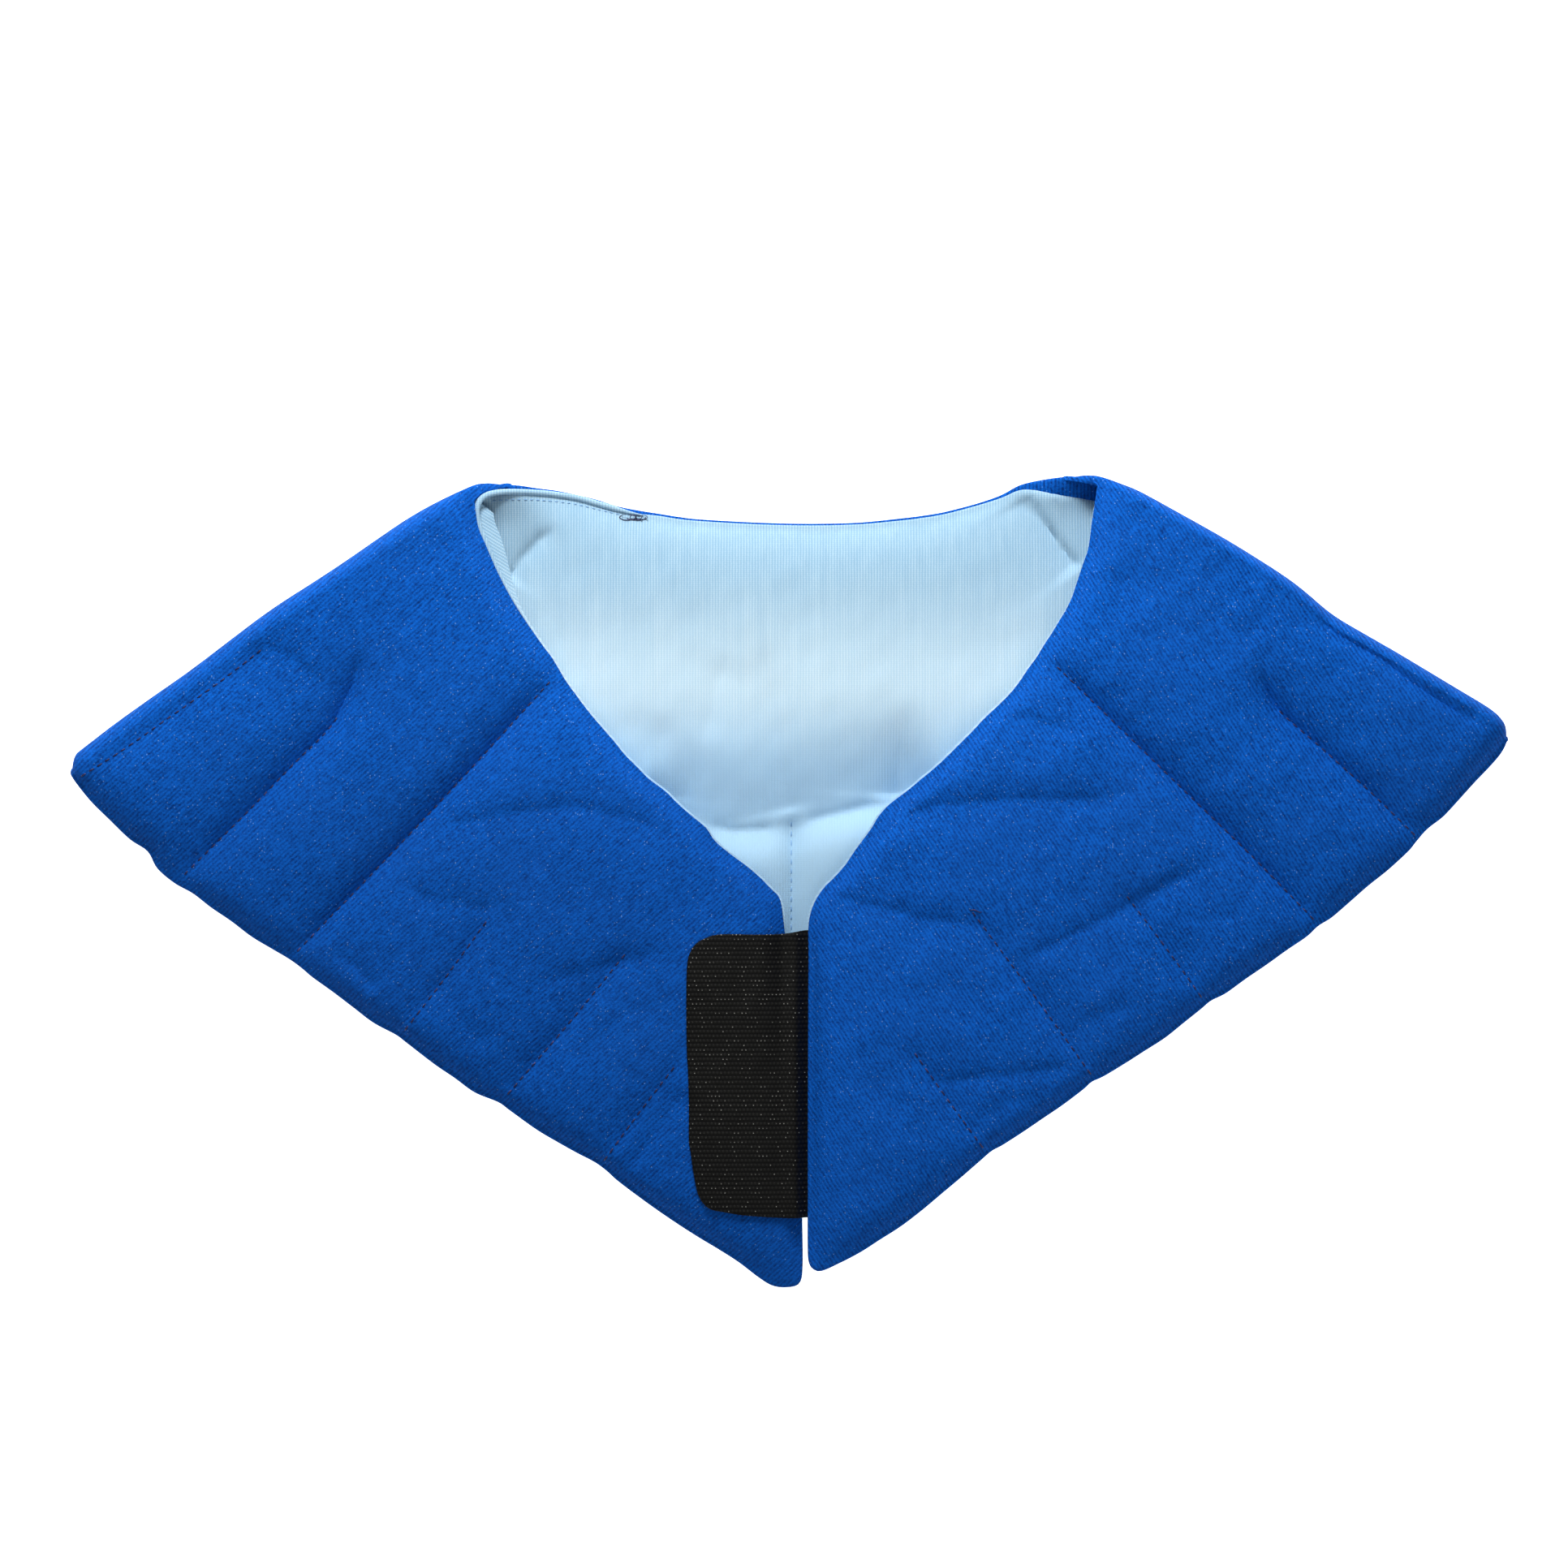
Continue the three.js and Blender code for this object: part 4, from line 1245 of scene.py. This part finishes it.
def stitch_line(skin, line, start, end, at, pitch=3.45, share=0.72, radius=0.30, sink=0.42, rise=0.16, seed=1):
    """Dashes of thread on a surface, each dipping into the cloth at both ends."""
    line = smooth_curve(line, 0.5)
    total = length(line)
    d = np.concatenate([[0], np.cumsum(np.linalg.norm(np.diff(line, axis=0), axis=1))])
    rng = np.random.default_rng(seed)
    s = start * total
    while s + pitch * share < end * total:
        size = pitch * share * rng.uniform(0.9, 1.08)
        turn = rng.uniform(-0.10, 0.10)
        pts = []
        for t in np.linspace(0, 1, 7):
            q = s + size * t
            x, y = np.interp(q, d, line[:, 0]), np.interp(q, d, line[:, 1])
            off = turn * (t - 0.5) * 2
            x, y = x + off * 0.6, y - off * 0.6
            z = at(x, y)
            if z is None:
                break
            pts.append((x, y, z - sink + (sink + rise) * math.sin(math.pi * t) ** 0.5))
        if len(pts) == 7:
            thread_run(skin, pts, radius)
        s += pitch * rng.uniform(0.97, 1.03)


heights = {k: height_over(made[k]) for k in ("left", "right", "back")}
stitches = {}
for side, lines, which in (("left", LEFT_SEAMS, LEFT_STITCHED), ("right", RIGHT_SEAMS, RIGHT_STITCHED)):
    skin = Skin()
    for num, a, b in which:
        stitch_line(skin, lines[num][0], a, b, heights[side], seed=num + (10 if side == "left" else 30))
    if side == "right":
        x0, y0 = [(67.35, -10.8)][0]
        z0 = heights["right"](x0, y0)
        thread_run(skin, [(x0 - 0.2 + 0.9 * k, y0 + 0.5 * math.sin(k * 1.1), z0 + 0.15) for k in range(6)], 0.22)
    stitches[side] = skin.build(f"front_{side}_stitching", [thread], loose=1e-7)
skin = Skin()

# topstitch and loose thread along the lining's neck seam
pale = Graph("pale_thread")
pn = pale.noise(0.4, 2)
pale.to("Base Color", pale.mix(pn, linear((92, 140, 190)), linear((150, 190, 226))))
pale.to("Roughness", pale.math("ADD", 0.5, pale.math("MULTIPLY", pn, 0.2)))
pale.to("Normal", pale.bump(pn, 0.00005, 0.5))
skin = Skin()
stitch_line(skin, [
    (-109.35, 140.85), (-100.65, 141.3), (-91.05, 141.15), (-79.65, 139.95), (-69.15, 137.55),
    (-60.75, 135.6)
], 0.0, 1.0, heights["back"], pitch=2.3, share=0.7, radius=0.2, sink=0.3, rise=0.12, seed=70)
neck_stitch = skin.build("neck_topstitch", [pale.mat], loose=1e-7)
skin = Skin()
for num, s in enumerate(BACK_SEAMS):
    stitch_line(skin, s[0][::-1], 0.0 if num == 3 else 0.12, 1.0, heights["back"], radius=0.24, seed=50 + num)
stitches["back"] = skin.build("back_stitching", [pale.mat], loose=1e-7)
skin = Skin()
rng = np.random.default_rng(9)
for k in range(5):
    cx, cy = [(-56.85, 135)][0]
    r = rng.uniform(0.9, 2.1)
    ph = rng.uniform(0, 6)
    pts = []
    for t in np.linspace(0, 1, 14):
        a = ph + t * rng.uniform(4.4, 5.2)
        x = cx + rng.uniform(-0.1, 0.1) + (k - 2) * 1.3 + r * math.cos(a) * 1.5
        y = cy + r * math.sin(a) * 0.55
        z = heights["back"](x, y, None)
        if z is None:
            z = heights["back"](x, y - 2.5, 5.0)
        pts.append((x, y, z + 0.12 + 0.25 * math.sin(math.pi * t)))
    thread_run(skin, pts, 0.15, 6)
tangle = skin.build("neck_thread_tangle", [thread], loose=1e-7)

# the lining's rolled neck edge at the left shoulder, from the back round the corner and down the front's neckline
ROLL = [
    (-53.55, 135.75), (-57.15, 136.35), (-62.85, 137.85), (-69.15, 139.65), (-77.25, 141.9),
    (-84.15, 143.1), (-91.05, 143.85), (-99.15, 144.15), (-105.75, 144), (-109.95, 143.25),
    (-112.65, 141.9), (-114.15, 140.1), (-114.75, 137.4), (-114.45, 133.8), (-113.25, 129.3),
    (-111.15, 124.2), (-107.25, 115.2), (-102.75, 106.5), (-98.85, 99.9), (-94.35, 93),
    (-89.85, 86.4)
]
roll_xy = smooth_curve(ROLL, 1.0)
run = np.concatenate([[0], np.cumsum(np.linalg.norm(np.diff(roll_xy, axis=0), axis=1))])
run /= run[-1]
turn_at = run[np.argmin(np.linalg.norm(roll_xy - [(-113.55, 141)][0], axis=1))]
zs = np.zeros(len(roll_xy))
for i, (x, y) in enumerate(roll_xy):
    h = heights["back"](x, y - 1.8)
    zs[i] = (h if h is not None else 6.0) - 0.2
w = smoothstep((run - (turn_at - 0.14)) / 0.17)
zs = zs * (1 - w) + (FRONT_BASE + 1.7) * w
rad = np.interp(run, [0, 0.04, 0.1, turn_at - 0.02, turn_at + 0.08, 0.8, 1.0], [0.25, 0.6, 1.05, 1.15, 0.95, 0.6, 0.3])
skin = Skin()
t3 = np.gradient(np.column_stack([roll_xy, zs]), axis=0)
t3 /= np.linalg.norm(t3, axis=1)[:, None]
rings = []
for i in range(len(roll_xy)):
    side_v = np.cross(t3[i], [0, 0, 1])
    side_v /= np.linalg.norm(side_v)
    up_v = np.cross(side_v, t3[i])
    c = np.array([roll_xy[i, 0], roll_xy[i, 1], zs[i]])
    ring = [c + rad[i] * (math.cos(a) * side_v + 0.85 * math.sin(a) * up_v) for a in np.linspace(0, math.tau, 12, endpoint=False)]
    first = skin.add(np.array(ring), np.array(ring)[:, :2])
    rings.append([first + k for k in range(12)])
for a, b in zip(rings[:-1], rings[1:]):
    skin.strip(a, b, 0, closed=True)
for ring in (rings[0], rings[-1]):
    skin.faces.append(tuple(ring))
    skin.mats.append(0)
neck_roll = skin.build("neck_lining_roll", [lining_back], loose=1e-7)

# the hook tab: it lies on the left front and turns up to the hinge line between the fronts
TAB = [
    (-27.75, -19.8), (-30.15, -20.7), (-32.55, -21.9), (-34.35, -23.4), (-36.15, -26.4),
    (-37.05, -30.6), (-37.35, -38.7), (-37.35, -50.7), (-37.2, -63), (-36.75, -70.2),
    (-36.45, -82.2), (-36.45, -95.4), (-35.85, -99.6), (-34.95, -106.2), (-33.75, -112.8),
    (-32.85, -115.8), (-31.05, -118.8), (-28.35, -120.9), (-24.15, -121.8), (-18.15, -122.85),
    (-12.15, -123.45), (-6.15, -123.9), (-0.15, -124.2), (8.25, -124.2)
]
tab_edge = smooth_curve(TAB, 0.9)
tab_right = np.column_stack([np.full(118, 8.3), np.linspace(-124.2, -17.9, 118)])
tab_top = smooth_curve([
    (8.25, -17.85), (4.35, -18.3), (-0.75, -19.2), (-9.15, -19.5), (-18.15, -19.35),
    (-24.15, -19.35), (-27.75, -19.8)
], 0.9)
tab_loop = np.vstack([tab_edge[:-1], tab_right[:-1], tab_top[:-1]])
tab_in = tab_loop.copy()
t = np.roll(tab_loop, -1, 0) - np.roll(tab_loop, 1, 0)
t /= np.linalg.norm(t, axis=1)[:, None]
tn = np.stack([-t[:, 1], t[:, 0]], 1)
if np.sum((tab_loop - tab_loop.mean(0)) * tn) < 0:
    tn = -tn
TAB_RIM = 0.45
tab_in = tab_loop - tn * TAB_RIM
d, _, _ = line_distance(tab_in, np.vstack([tab_loop, tab_loop[:1]]))
keep = d > TAB_RIM * 0.85
tab_in, tn = tab_in[keep], tn[keep]


def tab_base(xy):
    """Height of the tab's underside: it lies on the left front, runs over its edge and tucks under the right front's edge."""
    z = np.zeros(len(xy))
    for i, (x, y) in enumerate(xy):
        rows = []
        for dx, dy in ((0, 0), (-3, 0), (3, 0), (0, -4), (0, 4)):
            h = heights["left"](min(x + dx, -2.4), min(y + dy, -27.0))
            if h is not None:
                rows.append(h)
        z[i] = max(rows[0], sum(rows) / len(rows)) if rows else 24.0
    tuck = smoothstep((xy[:, 0] - 2.4) / 5.4)
    return (z + 0.2) * (1 - tuck) + 17.6 * tuck


def tab_surfaces(verts, faces, order):
    base = tab_base(verts)
    wave = 0.14 * noise(verts, 30, 41)
    top = base + 1.15 + wave
    return top, base + wave * 0.5, np.column_stack([tn * TAB_RIM, np.zeros(len(tn))])


tab, tab_verts, tab_faces, tab_z, _ = pad("closure_tab_hook_tape", tab_in, tn, [], None, (1.3, None), tab_surfaces, tape_mat, rows=4)

# ------------------------------------------------------------------ ride, bake in place, replace
NODES = sorted(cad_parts)
for side in ("left", "right"):
    m = made[side]
    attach(m["cover"], f"front_{side}")
    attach(m["lining"], f"front_{side}")
    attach(stitches[side], f"front_{side}")
    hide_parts(f"front_{side}_outer_cover", *[n for n in NODES if n.startswith(f"front_{side}_fill")])
    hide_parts(f"front_{side}_lining")
    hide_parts(*[n for n in NODES if n.startswith(f"front_{side}_stitch_row")])
    cover, lining = m["shoulder"]
    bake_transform(cover)
    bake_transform(lining)
b = made["back"]
for o in (b["cover"], b["lining"], stitches["back"], neck_stitch, tangle):
    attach(o, "back")
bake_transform(neck_roll)
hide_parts("back_outer_cover")
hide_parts("back_lining", *[n for n in NODES if n.startswith("back_fill")])
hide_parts(*[n for n in NODES if n.startswith("back_stitch_row")])
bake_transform(tab)
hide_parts("closure_tab_tape", "closure_tab_hooks", "closure_tab_anchor")

# ------------------------------------------------------------------ floor, light, camera
me = bpy.data.meshes.new("floor")
R = 6.0
me.from_pydata([(-R, -R, -0.0004), (R, -R, -0.0004), (R, R, -0.0004), (-R, R, -0.0004)], [], [(0, 1, 2, 3)])
floor = bpy.data.objects.new("floor", me)
bpy.context.scene.collection.objects.link(floor)
fm = bpy.data.materials.new("floor_paper")
fm.use_nodes = True
fb = fm.node_tree.nodes["Principled BSDF"]
fb.inputs["Base Color"].default_value = (0.92, 0.92, 0.92, 1)
fb.inputs["Roughness"].default_value = 0.9
fb.inputs["Specular IOR Level"].default_value = 0.1
fb.inputs["Emission Color"].default_value = (1, 1, 1, 1)
fb.inputs["Emission Strength"].default_value = 0.85
me.materials.append(fm)

scene = bpy.context.scene
scene.view_settings.view_transform = "Standard"
scene.view_settings.look = "None"
scene.view_settings.exposure = 0.0
scene.view_settings.gamma = 1.0
world = bpy.data.worlds.new("studio")
scene.world = world
world.use_nodes = True
bg = world.node_tree.nodes["Background"]
bg.inputs["Color"].default_value = (1.0, 1.0, 1.0, 1)
bg.inputs["Strength"].default_value = 0.22


def area_light(name, place, target, size, power):
    data = bpy.data.lights.new(name, "AREA")
    data.shape = "SQUARE"
    data.size = size
    data.energy = power
    o = bpy.data.objects.new(name, data)
    o.location = place
    o.rotation_mode = "QUATERNION"
    o.rotation_quaternion = (Vector(target) - Vector(place)).to_track_quat("-Z", "Y")
    scene.collection.objects.link(o)
    return o


area_light("key", (-0.14, 0.96, 0.60), (0, 0.0, 0), 0.38, 15.4)
area_light("fill", (0.35, -1.1, 1.7), (0, 0, 0), 1.6, 9)

cam_data = bpy.data.cameras.new("camera")
cam_data.lens = 220
cam_data.sensor_width = 36
cam = bpy.data.objects.new("camera", cam_data)
scene.collection.objects.link(cam)
WIDTH = 0.5796
distance = WIDTH * 220 / 36
cam.location = (-0.00135, 0.036, 0.018 + distance)
cam.rotation_euler = (0, 0, 0)
cam_data.clip_start, cam_data.clip_end = 0.1, 20
scene.camera = cam
